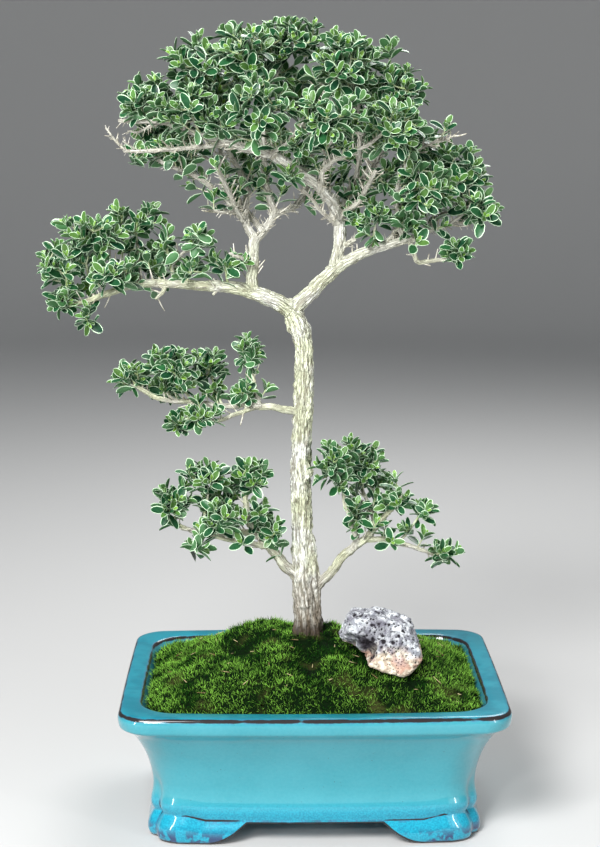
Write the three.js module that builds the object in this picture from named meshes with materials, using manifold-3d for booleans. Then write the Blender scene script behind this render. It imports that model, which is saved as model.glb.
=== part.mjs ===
// A serissa bonsai in a glazed rectangular pot, with a moss mound and a lava stone.
// Millimetres, +Z up. Everything is laid out about the pot's centre, with z = 0 under its feet,
// and the finished group is then shifted so that its origin is the middle of the base of its box.
import * as THREE from "three";
import { mergeVertices } from "three/addons/utils/BufferGeometryUtils.js";
import Module from "manifold-3d";

const wasm = await Module();
wasm.setup();

// Driving dimensions
const RIM_HALF_WIDTH = 127;
const RIM_HALF_DEPTH = 95;
const POT_HEIGHT = 92;
const SIDE_BOW = 4; // how far the long sides swell out in their middle
const CORNER_STEPS = 6; // segments in each rounded corner of the pot
const CREASE_REACH = 0.36; // how far from a corner's middle its crease reaches, as a share
const GROUND_STEPS = 4; // and of the soil and the moss
const FOOT_HEIGHT = 14; // clear height between the feet
const FRONT_GAP = { mouth: 65, throat: 47 }; // half widths between the feet, low and high
const SIDE_GAP = { mouth: 43, throat: 31 };
const UNDERSIDE_WIDTH = 184; // the hollow behind the feet
const UNDERSIDE_DEPTH = 120;
const FLOOR_TOP = 20;
const DRAIN_HOLE_RADIUS = 8;
const DRAIN_HOLE_X = 55;
const MESH_SIZE = 30;
const MESH_THICKNESS = 1.6;
const MESH_HOLES = 2; // holes along each side of a drain mesh
const MESH_OPEN_SHARE = 0.7; // how much of the pitch a hole takes
const SEAT_GAP = 0.3; // clearance between pieces that touch
const MOSS_SEAT = 83; // height of the underside of the moss at the rim
const MOSS_EDGE = 88; // and of its top there
const MOUND_RISE = 28; // how much higher the moss stands at the trunk
const MOSS_THICKNESS = 7;
const LEAF_LENGTH = 12.5;
const LEAF_WIDTH = 5.6;
const LEAF_THICKNESS = 1;
const SHOOT_RADIUS = 1;
const NODE_SPACING = 1.8; // between the pairs of leaves at a shoot's tip

// Geometry helpers

// A closed geometry as a solid that can be joined and cut.
function solidOf(geometry) {
  const bare = geometry.clone();
  bare.deleteAttribute("normal");
  bare.deleteAttribute("uv");
  const merged = mergeVertices(bare, 1e-4);
  return new wasm.Manifold(
    new wasm.Mesh({
      numProp: 3,
      vertProperties: merged.attributes.position.array,
      triVerts: new Uint32Array(merged.index.array),
    }),
  );
}

// A solid back as a three.js geometry.
function geometryOf(solid) {
  const mesh = solid.getMesh();
  const geometry = new THREE.BufferGeometry();
  geometry.setAttribute("position", new THREE.BufferAttribute(mesh.vertProperties, 3));
  geometry.setIndex(new THREE.BufferAttribute(mesh.triVerts, 1));
  geometry.computeVertexNormals();
  return geometry;
}

function geometryFrom(points, triangles) {
  const geometry = new THREE.BufferGeometry();
  geometry.setFromPoints(points);
  geometry.setIndex(triangles.flat());
  return geometry;
}

// The skin through a stack of rings with equal numbers of points, closed at both ends by fans.
function loft(rings, startPoint, endPoint) {
  const sides = rings[0].length;
  const points = [...rings.flat(), startPoint, endPoint];
  const start = points.length - 2;
  const end = points.length - 1;
  const lastRing = (rings.length - 1) * sides;
  const triangles = [];
  for (let side = 0; side < sides; side += 1) {
    const next = (side + 1) % sides;
    triangles.push([start, next, side]);
    triangles.push([end, lastRing + side, lastRing + next]);
    for (let ring = 0; ring < rings.length - 1; ring += 1) {
      const low = ring * sides;
      const high = low + sides;
      triangles.push([low + side, low + next, high + next]);
      triangles.push([low + side, high + next, high + side]);
    }
  }
  return geometryFrom(points, triangles);
}

function vector([x, y, z]) {
  return new THREE.Vector3(x, y, z);
}

// A repeatable number from 0 to 1 for a pair of counts.
function chance(first, second) {
  const wave = Math.sin(first * 127.1 + second * 311.7) * 43758.5453;
  return wave - Math.floor(wave);
}

function largestBody(solid) {
  const bodies = solid.decompose();
  return bodies.reduce((best, body) => (body.volume() > best.volume() ? body : best));
}

// Pot

// One level of the pot: a rounded rectangle whose sides bow out, with an optional crease in
// each corner, which leaves a lobe on either side of it.
function potRing({ z, halfWidth, halfDepth, corner, crease = 0 }, steps) {
  const corners = [[1, 1, 0], [-1, 1, 1], [-1, -1, 2], [1, -1, 3]];
  const points = [];
  for (const [signX, signY, quarter] of corners) {
    for (let step = 0; step <= steps; step += 1) {
      const angle = (Math.PI / 2) * (quarter + step / steps);
      const away = Math.min(1, Math.abs(step / steps - 0.5) / CREASE_REACH);
      const radius = corner - crease * (0.5 + 0.5 * Math.cos(Math.PI * away)) ** 1.4;
      const x = signX * (halfWidth - corner) + radius * Math.cos(angle);
      const y = signY * (halfDepth - corner) + radius * Math.sin(angle);
      points.push(new THREE.Vector3(x, y, z));
    }
    if (quarter % 2 === 0) points.push(new THREE.Vector3(0, signY * halfDepth, z));
  }
  for (const point of points) {
    const across = point.x / halfWidth;
    const along = point.y / halfDepth;
    point.y *= 1 + (SIDE_BOW / halfDepth) * (1 - across * across);
    point.x *= 1 + ((0.6 * SIDE_BOW) / halfWidth) * (1 - along * along);
  }
  return points;
}

// Sizes of the wall, level by level, as what they lack of the rim's half width and half depth.
const OUTER_LEVELS = [
  { z: 0, inset: [19.4, 18.6], corner: 21, crease: 4.6 },
  { z: 5, inset: [16.8, 16.2], corner: 23, crease: 5 },
  { z: 16, inset: [20.4, 19.2], corner: 22, crease: 5 },
  { z: 23, inset: [19, 18.4], corner: 22, crease: 4.4 },
  { z: 33, inset: [21.4, 20.8], corner: 22, crease: 2.4 },
  { z: 46, inset: [19.6, 19], corner: 23 },
  { z: 58, inset: [16.1, 15.5], corner: 24 },
  { z: 68, inset: [11.5, 10.6], corner: 24 },
  { z: 79, inset: [4, 3.4], corner: 20 },
  { z: 82, inset: [0.8, 0.7], corner: 18.5 },
  { z: 89.8, inset: [0, 0], corner: 18 },
  { z: POT_HEIGHT, inset: [2.6, 2.6], corner: 17 },
];
const INNER_LEVELS = [
  { z: POT_HEIGHT - 0.6, inset: [14, 14], corner: 24 },
  { z: 86, inset: [16.5, 16.5], corner: 20 },
  { z: 76, inset: [22, 22], corner: 18 },
  { z: FLOOR_TOP, inset: [28, 28], corner: 14 },
];

function levelRing({ z, inset, corner, crease }, steps, clearance = 0) {
  const halfWidth = RIM_HALF_WIDTH - inset[0] - clearance;
  const halfDepth = RIM_HALF_DEPTH - inset[1] - clearance;
  return potRing({ z, halfWidth, halfDepth, corner: corner - clearance, crease }, steps);
}

// The bracket-shaped gap between two feet, as a bar that is cut through the pot's base.
// The feet's toes curve up and back, from the mouth at the table to the throat under the wall.
function footGap({ mouth, throat }, length) {
  const bend = throat + 5;
  const bendHeight = 0.45 * FOOT_HEIGHT;
  const below = -2;
  const outline = new THREE.Shape();
  outline.moveTo(-mouth, below);
  outline.lineTo(-mouth, 0);
  outline.lineTo(-bend, bendHeight);
  outline.lineTo(-throat, FOOT_HEIGHT);
  outline.lineTo(throat, FOOT_HEIGHT);
  outline.lineTo(bend, bendHeight);
  outline.lineTo(mouth, 0);
  outline.lineTo(mouth, below);
  const bar = new THREE.ExtrudeGeometry(outline, { depth: length, bevelEnabled: false });
  bar.translate(0, 0, -length / 2);
  bar.rotateX(Math.PI / 2);
  return bar;
}

function drainHole(x) {
  const sides = 14;
  const length = 3 * FLOOR_TOP;
  const hole = new THREE.CylinderGeometry(DRAIN_HOLE_RADIUS, DRAIN_HOLE_RADIUS, length, sides);
  hole.rotateX(Math.PI / 2);
  hole.translate(x, 0, FLOOR_TOP);
  return hole;
}

function makePot() {
  const rings = [...OUTER_LEVELS, ...INNER_LEVELS].map((level) => levelRing(level, CORNER_STEPS));
  const base = new THREE.Vector3(0, 0, 0);
  const floor = new THREE.Vector3(0, 0, FLOOR_TOP);
  const underside = new THREE.BoxGeometry(UNDERSIDE_WIDTH, UNDERSIDE_DEPTH, 2 * FOOT_HEIGHT);
  const frontGap = footGap(FRONT_GAP, 3 * RIM_HALF_DEPTH);
  const sideGap = footGap(SIDE_GAP, 3 * RIM_HALF_WIDTH);
  sideGap.rotateZ(Math.PI / 2);
  return solidOf(loft(rings, base, floor))
    .subtract(solidOf(underside))
    .subtract(solidOf(frontGap))
    .subtract(solidOf(sideGap))
    .subtract(solidOf(drainHole(-DRAIN_HOLE_X)))
    .subtract(solidOf(drainHole(DRAIN_HOLE_X)));
}

// Drain meshes

function makeDrainMesh(x) {
  const pitch = MESH_SIZE / (MESH_HOLES + 0.5);
  const opening = MESH_OPEN_SHARE * pitch;
  const middle = (MESH_HOLES - 1) / 2;
  let mesh = solidOf(new THREE.BoxGeometry(MESH_SIZE, MESH_SIZE, MESH_THICKNESS));
  for (let row = 0; row < MESH_HOLES; row += 1) {
    for (let column = 0; column < MESH_HOLES; column += 1) {
      const hole = new THREE.BoxGeometry(opening, opening, 3 * MESH_THICKNESS);
      hole.translate((column - middle) * pitch, (row - middle) * pitch, 0);
      mesh = mesh.subtract(solidOf(hole));
    }
  }
  return mesh.translate([x, 0, FLOOR_TOP + SEAT_GAP + MESH_THICKNESS / 2]);
}

function drainMeshClearance(x) {
  const width = MESH_SIZE + 2 * SEAT_GAP;
  const block = new THREE.BoxGeometry(width, width, MESH_THICKNESS + 3 * SEAT_GAP);
  block.translate(x, 0, FLOOR_TOP + SEAT_GAP + MESH_THICKNESS / 2);
  return solidOf(block);
}

// Moss and soil

const MOUND_HALF_WIDTH = 110;
const MOUND_HALF_DEPTH = 78;
const MOUND_POWER = 2.2;

// What stands on the dome: a hump to the left, a lower one behind the stone, and a gully that
// runs from the trunk to the front.
const HUMPS = [
  { x: -38, y: 18, halfWidth: 26, halfDepth: 24, rise: 9 },
  { x: 66, y: 6, halfWidth: 24, halfDepth: 26, rise: 4 },
  { x: 14, y: -22, halfWidth: 8, halfDepth: 26, rise: -5 },
];

// Height of the moss: a dome with its top at the trunk, and its humps.
function mossHeight(x, y) {
  const across = Math.min(1, Math.abs(x) / MOUND_HALF_WIDTH);
  const along = Math.min(1, Math.abs(y) / MOUND_HALF_DEPTH);
  const dome = (1 - across ** MOUND_POWER) * (1 - along ** MOUND_POWER) ** 0.85;
  let height = MOSS_EDGE + MOUND_RISE * dome;
  for (const hump of HUMPS) {
    const sideways = (x - hump.x) / hump.halfWidth;
    const lengthways = (y - hump.y) / hump.halfDepth;
    height += hump.rise * Math.exp(-(sideways ** 2) - lengthways ** 2);
  }
  return height;
}

// Height of the soil, which the moss covers with a coat that thins to the rim.
function soilHeight(x, y) {
  const edge = Math.max(Math.abs(x) / MOUND_HALF_WIDTH, Math.abs(y) / MOUND_HALF_DEPTH);
  return mossHeight(x, y) - MOSS_THICKNESS * (1 - 0.45 * Math.min(1, edge ** 4));
}

const MOSS_OUTLINE = levelRing({ z: 0, inset: [19.5, 19.5], corner: 19 }, GROUND_STEPS);

// A ring of the ground, at a share of the way from the trunk to the moss's edge.
function groundRing(share, height) {
  return MOSS_OUTLINE.map(({ x, y }) => {
    const px = x * share;
    const py = y * share;
    return new THREE.Vector3(px, py, height(px, py));
  });
}

// The soil fills the pot to just under its lip.
const SOIL_LEVELS = [
  { z: FLOOR_TOP + SEAT_GAP, inset: [28, 28], corner: 14 },
  { z: 76, inset: [22, 22], corner: 18 },
  { z: 82, inset: [18.7, 18.7], corner: 19 },
];
const SOIL_SHARES = [1, 0.75, 0.4];
const MOSS_SHARES = [0.88, 0.7, 0.52, 0.35, 0.18];

function makeSoil() {
  const wall = SOIL_LEVELS.map((level) => levelRing(level, GROUND_STEPS, SEAT_GAP + 0.1));
  const top = SOIL_SHARES.map((share) => groundRing(share, soilHeight));
  const bottomPoint = new THREE.Vector3(0, 0, FLOOR_TOP + SEAT_GAP);
  const topPoint = new THREE.Vector3(0, 0, soilHeight(0, 0));
  return solidOf(loft([...wall, ...top], bottomPoint, topPoint));
}

// The moss is a mound that rounds over at its edge, less the soil beneath it.
function makeMoss() {
  const under = groundRing(0.99, () => MOSS_SEAT);
  const rounded = (share, drop) => groundRing(share, (x, y) => mossHeight(x, y) - drop);
  const top = MOSS_SHARES.map((share) => groundRing(share, mossHeight));
  const topPoint = new THREE.Vector3(0, 0, mossHeight(0, 0));
  const rings = [under, rounded(1.02, 1.6), rounded(1, 0.2), ...top];
  const mound = solidOf(loft(rings, new THREE.Vector3(0, 0, MOSS_SEAT), topPoint));
  return mound.subtract(makeSoil().translate([0, 0, SEAT_GAP]));
}

// Heights and radii of the plain hole in soil and moss that the foot of the trunk stands in.
const TRUNK_HOLE = [[65, 12.4], [96, 12.8], [106, 12.2], [118, 10], [130, 9.4]];

function trunkHole() {
  const [x, y] = TRUNK[0];
  const sides = 12;
  const rings = TRUNK_HOLE.map(([z, radius]) =>
    Array.from({ length: sides }, (_, side) => {
      const angle = (2 * Math.PI * side) / sides;
      return new THREE.Vector3(x + radius * Math.cos(angle), y + radius * Math.sin(angle), z);
    }),
  );
  const bottom = TRUNK_HOLE[0][0];
  const top = TRUNK_HOLE.at(-1)[0];
  return solidOf(loft(rings, vector([x, y, bottom]), vector([x, y, top])));
}

// Stone

// The two lobes of the stone. Each is a rounded block, given face by face: a direction, and how
// far the face lies from the middle.
const UPPER_LOBE = {
  centre: [43, -28, 129.5],
  faces: [
    [-1, 0, 0.5, 24], [0.1, 0, 1, 14], [1, 0.1, 0.8, 22], [0.2, -1, 0.5, 15],
    [-0.4, -0.8, -0.6, 15], [0, 1, 0, 17], [-0.4, 0, -1, 13], [1, 0, -0.3, 23],
  ],
  roughness: 0.1,
  detail: 2,
};
const LOWER_LOBE = {
  centre: [56, -38, 114.5],
  faces: [
    [1, 0, 0.3, 17], [0, 0, 1, 15], [-1, 0, 0.2, 17], [0.1, -1, 0.2, 14],
    [0, 1, 0, 13], [-0.3, 0, -1, 11], [1, -0.3, -1, 14], [0.8, -0.4, 0.9, 17],
  ],
  roughness: 0.08,
  detail: 1,
};

function makeLobe({ centre, faces, roughness, detail }, grow) {
  const sharpness = 9;
  const ball = new THREE.IcosahedronGeometry(1, detail);
  ball.deleteAttribute("normal");
  ball.deleteAttribute("uv");
  const lobe = mergeVertices(ball, 1e-4);
  const position = lobe.attributes.position;
  for (let i = 0; i < position.count; i += 1) {
    const direction = new THREE.Vector3().fromBufferAttribute(position, i).normalize();
    let sum = 0;
    for (const [x, y, z, distance] of faces) {
      const share = direction.dot(new THREE.Vector3(x, y, z).normalize()) / distance;
      if (share > 0) sum += share ** sharpness;
    }
    const radius = sum ** (-1 / sharpness) * (1 + roughness * (chance(i, detail) - 0.5));
    direction.multiplyScalar(radius + grow).add(vector(centre));
    position.setXYZ(i, direction.x, direction.y, direction.z);
  }
  return solidOf(lobe);
}

// The stone, thickened all round by `grow`.
function makeStone(grow) {
  return makeLobe(UPPER_LOBE, grow).add(makeLobe(LOWER_LOBE, grow));
}

// Tree

// Every woody branch: points along its middle, each with the branch's radius there.
// A branch starts inside the one that carries it.
const TRUNK = [
  [-3, 0, 66, 7.5], [-3, 0, 92, 11], [-3, 0, 106, 10.5], [-3.5, 0, 116, 9], [-4, 0, 130, 8.1],
  [-6, 0, 155, 7.5], [-7, 1, 182, 6.9], [-7.5, 1.5, 205, 6.5], [-8, 2, 230, 6.4],
  [-7.5, 1, 252, 6.1], [-6.5, 0, 275, 5.9], [-6, 0, 297, 5.7], [-6.3, -1, 318, 5.7],
  [-10, -0.5, 331, 6.9], [-15, 0, 343, 5.2], [-18, 0, 346, 4],
];

const LIMBS = [
  [[-12, 0, 340, 4.6], [-22, -0.5, 346.5, 4.6], [-34, -1, 351.5, 4.1], [-46, -2, 355, 3.7],
    [-60, -3, 357, 3.2], [-78, -5, 358, 2.8], [-96, -6, 359, 2.6], [-112, -8, 359, 2.3],
    [-128, -10, 355.5, 2.1], [-144, -11, 349, 1.8], [-160, -12, 345, 1.2]],
  [[-14, 0, 341, 4.5], [-6, 0, 348.5, 4.7], [3, 0, 358, 4.3], [14, -1, 368, 3.9],
    [24, -2, 375, 3.3], [34, -3, 379.5, 3], [46, -4, 383, 2.7], [57, -5, 386, 2.4],
    [65, -5, 388, 2]],
  [[-40, -1, 352, 3.6], [-40, 0, 364, 3.5], [-39.5, 1, 377, 3.3], [-38, 2, 389, 3]],
  [[14, -1, 366, 3.8], [16, -1, 378, 3.7], [18, 0, 390, 4], [17, 0, 401, 3.4]],
];

const BOUGHS = [
  // Rising from the left limb into the crown
  [[-38, 2, 386, 2.6], [-47, -2, 402, 2.1], [-57, -6, 413, 1.8], [-76, -9, 428, 1.5],
    [-105, -12, 441, 1.1]],
  [[-45, -1, 399, 2.1], [-43.5, 8, 418, 1.9], [-49, 14, 433, 1.6], [-58, 16, 446, 1.4],
    [-71, 8, 462, 1.2], [-77, 2, 480, 1]],
  [[-38, 2, 386, 2.7], [-26, 6, 402, 2.3], [-29, 8, 415, 2], [-32, 7, 445, 1.6],
    [-31, 2, 484, 1]],
  [[-26, 6, 401, 2], [-7, 22, 412, 1.8], [0, 42, 438, 1.4], [-1, 52, 464, 1]],
  [[-34, 3, 393, 2], [-47, 20, 408, 1.8], [-60, 38, 434, 1.4], [-64, 43, 462, 1]],
  [[-46, -1, 399, 1.8], [-54, -18, 417, 1.5], [-62, -32, 438, 1.1]],
  // Rising from the right limb into the crown
  [[17, 0, 398, 2.6], [11, -8, 412, 2.4], [3, -16, 422, 2.2], [-12, -25, 433, 2],
    [-28, -32, 443, 1.9], [-46, -35, 448, 1.8], [-69, -34, 455, 1.6], [-92, -29, 462, 1.4],
    [-124, -25, 464, 1.1]],
  [[-54, -35, 449.5, 1.5], [-84, -33, 447, 1.3], [-121, -28, 445, 1]],
  [[-28, -32, 442, 1.5], [-18, -40, 450, 1.3], [-7, -49, 463, 1]],
  [[10, -8, 412, 2], [9, -4, 430, 1.7], [11, -4, 458, 1.4], [6, -4, 484, 1]],
  [[4, -16, 421, 1.5], [8, -33, 436, 1.3], [29, -42, 447, 1.2], [50, -34, 460, 1]],
  [[17, 0, 399, 2.4], [21, 4, 412, 2.1], [29, 12, 432, 1.7], [31, 15, 462, 1.2],
    [29, 14, 480, 1]],
  [[17, 0, 400, 1.8], [29, -14, 413, 1.6], [39, -33, 433, 1.2]],
  [[18, 1, 400, 2], [30, 20, 415, 1.7], [43, 38, 434, 1.3], [50, 46, 456, 1]],
  [[22, 6, 416, 1.8], [38, 5, 433, 1.5], [57, 1, 462, 1]],
  [[60, -5, 386, 1.8], [55, -9, 400, 1.5], [54, -18, 422, 1.1], [60, -24, 438, 1]],
  [[64, -5, 387, 1.9], [74, -3, 393, 1.7], [87, -2, 396, 1.3], [104, 0, 397, 1]],
  [[71, -4, 391, 1.6], [81, 4, 400, 1.5], [92, 8, 405.5, 1.3], [112, 6, 415, 1]],
  [[52, -4, 384, 1.8], [59, 14, 399, 1.5], [66, 27, 414, 1.3], [71, 33, 429, 1]],
  [[63, -5, 386, 1.7], [65.5, -6, 378, 1.5], [69, -7, 373, 1.4], [83, -9, 374, 1.2],
    [92, -10, 377, 1]],
  // Middle branch on the left
  [[-6, 0, 270, 2.6], [-18, -2, 274, 2.2], [-30, -4, 276, 2.1], [-44, -5, 277.5, 1.9],
    [-64, -4, 277.5, 1.8], [-84, -2, 279, 1.6], [-104, -4, 283, 1.4], [-119, -6, 292, 1]],
  [[-36, -5, 277, 1.6], [-48, -10, 273, 1.4], [-66, -17, 269, 1.2], [-85, -20, 271, 1]],
  [[-36, -5, 277, 1.5], [-38, -3, 288, 1.4], [-43, -1, 302, 1]],
  // Low branch on the left
  [[-4, 0, 150, 3.6], [-18, -3, 166, 3.3], [-26, -5, 178, 3], [-37, -6, 190, 2.5],
    [-43, -6, 199, 2.1], [-45, -5, 210, 1.7], [-48, -2, 223, 1.1]],
  [[-27, -5, 181, 1.9], [-39, -10, 184, 1.7], [-58, -18, 189, 1.3], [-73, -22, 195, 1]],
  [[-38, -6, 191, 2], [-52, -3, 190, 1.9], [-74, 2, 188.5, 1.6], [-88, 1, 193, 1.3],
    [-102, -2, 205, 1]],
  // Low branch on the right
  [[-3, 0, 146, 3.2], [10, -2, 159, 2.9], [21, -4, 174, 2.7], [36, -5, 187, 2.3],
    [46, -5, 198.5, 1.7], [61, -6, 217, 1.1]],
  [[28, -5, 180, 1.8], [28, -6, 190, 1.6], [22, -8, 209, 1.3], [20, -8, 222, 1]],
  [[40, -5, 191, 1.7], [40, 2, 202, 1.4], [33, 6, 218, 1]],
  [[34, -5, 185, 1.8], [48, -7, 186, 1.7], [66, -11, 182, 1.4], [86, -12, 175, 1]],
];

const TWIGS = [
  [[16, -1, 396, 1.4], [7, -8, 404, 1.2], [-8, -14, 421, 0.9]],
  [[17, 0, 380, 1.6], [23, -3, 385, 1.4], [28, -5, 387.5, 1.1]],
  [[-96, -6, 358, 1.3], [-99, -10, 353, 1.1], [-103, -12, 349, 0.9]],
  [[-41, 0, 366, 1.3], [-46, -8, 375, 1.1], [-55, -12, 379, 0.9]],
  [[-89, -6, 359, 1.5], [-92, -7, 370, 1.2], [-82, -12, 382, 0.9]],
  [[-118, -9, 357, 1.5], [-128, -16, 370, 1.2], [-137, -19, 382, 0.9]],
];

// Rings about the points of a route, square to it and without twist. Each point has a radius.
function ringsAlong(route, sides, firstNormal, shape = () => 1) {
  const centres = route.map(vector);
  const last = centres.length - 1;
  const normal = firstNormal.clone();
  return centres.map((centre, i) => {
    const before = centres[Math.max(i - 1, 0)];
    const after = centres[Math.min(i + 1, last)];
    const tangent = after.clone().sub(before).normalize();
    normal.addScaledVector(tangent, -normal.dot(tangent)).normalize();
    const binormal = tangent.clone().cross(normal);
    return Array.from({ length: sides }, (_, side) => {
      const angle = (2 * Math.PI * side) / sides;
      const radius = route[i][3] * shape(angle, i);
      return centre
        .clone()
        .addScaledVector(normal, radius * Math.cos(angle))
        .addScaledVector(binormal, radius * Math.sin(angle));
    });
  });
}

// A direction square to the start of a route.
function squareTo(route) {
  const tangent = vector(route[1]).sub(vector(route[0])).normalize();
  const guide = Math.abs(tangent.z) > 0.7 ? vector([0, -1, 0]) : vector([0, 0, 1]);
  return guide.addScaledVector(tangent, -guide.dot(tangent)).normalize();
}

// A tapering branch with a ring at each of its points. Bark ridges run along it, and `grow`
// thickens it all round.
function branchGeometry(route, sides, { grow = 0, ridge = 0, ridges = 5 } = {}) {
  const grown = route.map(([x, y, z, radius]) => [x, y, z, radius + grow]);
  const shape = (angle, i) => 1 + ridge * Math.cos(ridges * angle + 0.9 * i);
  const rings = ringsAlong(grown, sides, squareTo(route), shape);
  const [first, second] = route.slice(0, 2).map(vector);
  const [before, last] = route.slice(-2).map(vector);
  const startPoint = first.clone().add(first.clone().sub(second).setLength(grow + 0.01));
  const tipLength = grow + 0.6 * route.at(-1)[3];
  const endPoint = last.clone().add(last.clone().sub(before).setLength(tipLength));
  return loft(rings, startPoint, endPoint);
}

// The trunk with all its limbs and twigs as one body.
function makeWood(grow) {
  const trunk = branchGeometry(TRUNK, 12, { grow, ridge: 0.07 });
  const limbs = LIMBS.map((route) => branchGeometry(route, 6, { grow, ridge: 0.06, ridges: 3 }));
  const boughs = BOUGHS.map((route) => branchGeometry(route, 4, { grow }));
  const twigs = TWIGS.map((route) => branchGeometry(route, 3, { grow }));
  return [trunk, ...limbs, ...boughs, ...twigs].map(solidOf).reduce((all, next) => all.add(next));
}

// Leafy sprays

// Each spray grows from a point of the wood and fills an ellipsoid with rosettes of leaves:
// the point on the wood, the middle of the ellipsoid, its half sizes, and the number of tips.
const SPRAYS = {
  crown: [
    [[-105, -12, 441], [-110, -4, 474], [26, 20, 19], 3],
    [[-77, 2, 478], [-79, -8, 502], [25, 22, 20], 3],
    [[-31, 3, 466], [-46, -26, 508], [25, 24, 22], 3],
    [[-31, 2, 480], [-44, 32, 512], [25, 24, 20], 3],
    [[-31, 2, 481], [-13, 2, 514], [25, 24, 21], 3],
    [[6, -4, 482], [20, -17, 500], [25, 22, 23], 3],
    [[57, 1, 460], [54, 0, 482], [23, 22, 20], 3],
    [[-40, -34, 447], [-34, -50, 476], [25, 18, 20], 3],
    [[-7, -49, 461], [10, -54, 470], [25, 17, 20], 3],
    [[50, -34, 459], [50, -32, 460], [27, 24, 22], 3],
    [[110, 6, 414], [94, 6, 434], [24, 24, 19], 3],
    [[60, -24, 436], [72, -20, 420], [24, 20, 20], 3],
    [[-72, -34, 456], [-78, -38, 470], [26, 18, 17], 2],
    [[-64, 43, 460], [-64, 52, 484], [25, 22, 21], 3],
    [[-1, 52, 462], [-8, 58, 486], [26, 22, 21], 3],
    [[50, 46, 455], [42, 50, 474], [25, 22, 20], 3],
    [[-46, 19, 407], [-34, 46, 446], [24, 22, 18], 2],
    [[71, 33, 428], [75, 40, 442], [24, 22, 18], 2],
    [[91, -10, 377], [95, -10, 379], [15, 12, 10], 2],
    [[-78, -9, 429], [-92, -14, 447], [20, 15, 11], 2],
    [[-60, 37, 432], [-98, 30, 462], [24, 22, 18], 2],
    [[29, 14, 478], [24, 26, 504], [24, 24, 20], 3],
    [[103, 0, 397], [108, -8, 408], [16, 18, 13], 2],
    [[43, 38, 434], [22, 66, 450], [24, 15, 18], 2],
    [[-123, -25, 464], [-119, -26, 466], [16, 14, 12], 2],
  ],
  left: [
    [[-158, -12, 345], [-166, -12, 371], [18, 18, 14], 3],
    [[-137, -19, 381], [-142, -18, 389], [20, 18, 15], 3],
    [[-112, -8, 359], [-117, 8, 395], [20, 18, 14], 3],
    [[-122, -11, 362], [-130, -30, 368], [20, 12, 12], 3],
    [[-99, -6, 359], [-106, 22, 373], [16, 14, 13], 2],
    [[-143, -11, 350], [-153, 28, 374], [17, 14, 14], 3],
    [[-83, -12, 381], [-74, -14, 391], [11, 11, 8], 2],
    [[-146, -11, 348], [-146, -15, 333], [8, 8, 10], 1],
  ],
  middle: [
    [[-117, -6, 291], [-121, -6, 298], [17, 15, 11], 3],
    [[-80, -2, 279], [-94, -13, 303], [18, 15, 14], 3],
    [[-60, -4, 277], [-70, 8, 297], [17, 16, 15], 3],
    [[-43, -1, 300], [-45, 0, 311], [10, 12, 13], 2],
    [[-84, -20, 271], [-74, -22, 274], [17, 12, 9], 3],
    [[-93, -3, 281], [-100, 22, 287], [17, 14, 12], 2],
  ],
  low_left: [
    [[-101, -2, 204], [-94, -2, 214], [16, 15, 16], 3],
    [[-76, 2, 188], [-68, -10, 229], [16, 15, 14], 3],
    [[-48, -2, 221], [-42, -5, 229], [15, 15, 13], 3],
    [[-72, -22, 194], [-62, -24, 205], [19, 12, 13], 3],
    [[-60, 0, 189], [-62, 22, 210], [16, 15, 14], 2],
    [[-24, -5, 176], [-27, -9, 194], [9, 10, 13], 2],
  ],
  low_right: [
    [[20, -8, 221], [17, -8, 239], [14, 14, 14], 3],
    [[33, 6, 216], [36, 8, 238], [15, 14, 14], 3],
    [[59, -6, 215], [56, -6, 211], [15, 14, 9], 2],
    [[40, -5, 192], [43, 20, 220], [14, 13, 12], 2],
    [[57, -9, 184], [76, -6, 203], [10, 12, 9], 2],
    [[85, -12, 175], [89, -12, 179], [13, 12, 7], 2],
  ],
};

// The free points of a leaf: a pointed oval with a keel, folded up along its middle, with a
// drooping tip. `swell` makes it larger all round.
function leafPoints({ base, along, up, size }, swell = 0) {
  const right = up.clone().cross(along);
  const length = LEAF_LENGTH * size + swell;
  const halfWidth = (LEAF_WIDTH * size) / 2 + swell;
  const halfThickness = LEAF_THICKNESS / 2 + swell * 0.6;
  const place = (forward, sideways, lift) =>
    base
      .clone()
      .addScaledVector(along, forward * length)
      .addScaledVector(right, sideways * halfWidth)
      .addScaledVector(up, lift);
  return {
    outline: [
      place(0.36, -0.96, 0.9),
      place(0.72, -0.78, 0.7),
      place(1, 0, -0.6),
      place(0.72, 0.78, 0.7),
      place(0.36, 0.96, 0.9),
    ],
    keelTop: place(0.42, 0, 0.2 + halfThickness),
    keelBottom: place(0.42, 0, 0.2 - halfThickness),
  };
}

// The room that a leaf takes up, from just clear of its shoot.
function leafRoom(leaf) {
  const { outline, keelTop, keelBottom } = leafPoints(leaf, 0.5);
  const start = leaf.base.clone().addScaledVector(leaf.along, 1.4);
  const points = [start, ...outline, keelTop, keelBottom];
  const triangles = [];
  for (let corner = 0; corner < 6; corner += 1) {
    const next = (corner + 1) % 6;
    triangles.push([6, corner, next]);
    triangles.push([7, next, corner]);
  }
  return geometryFrom(points, triangles);
}

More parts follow.
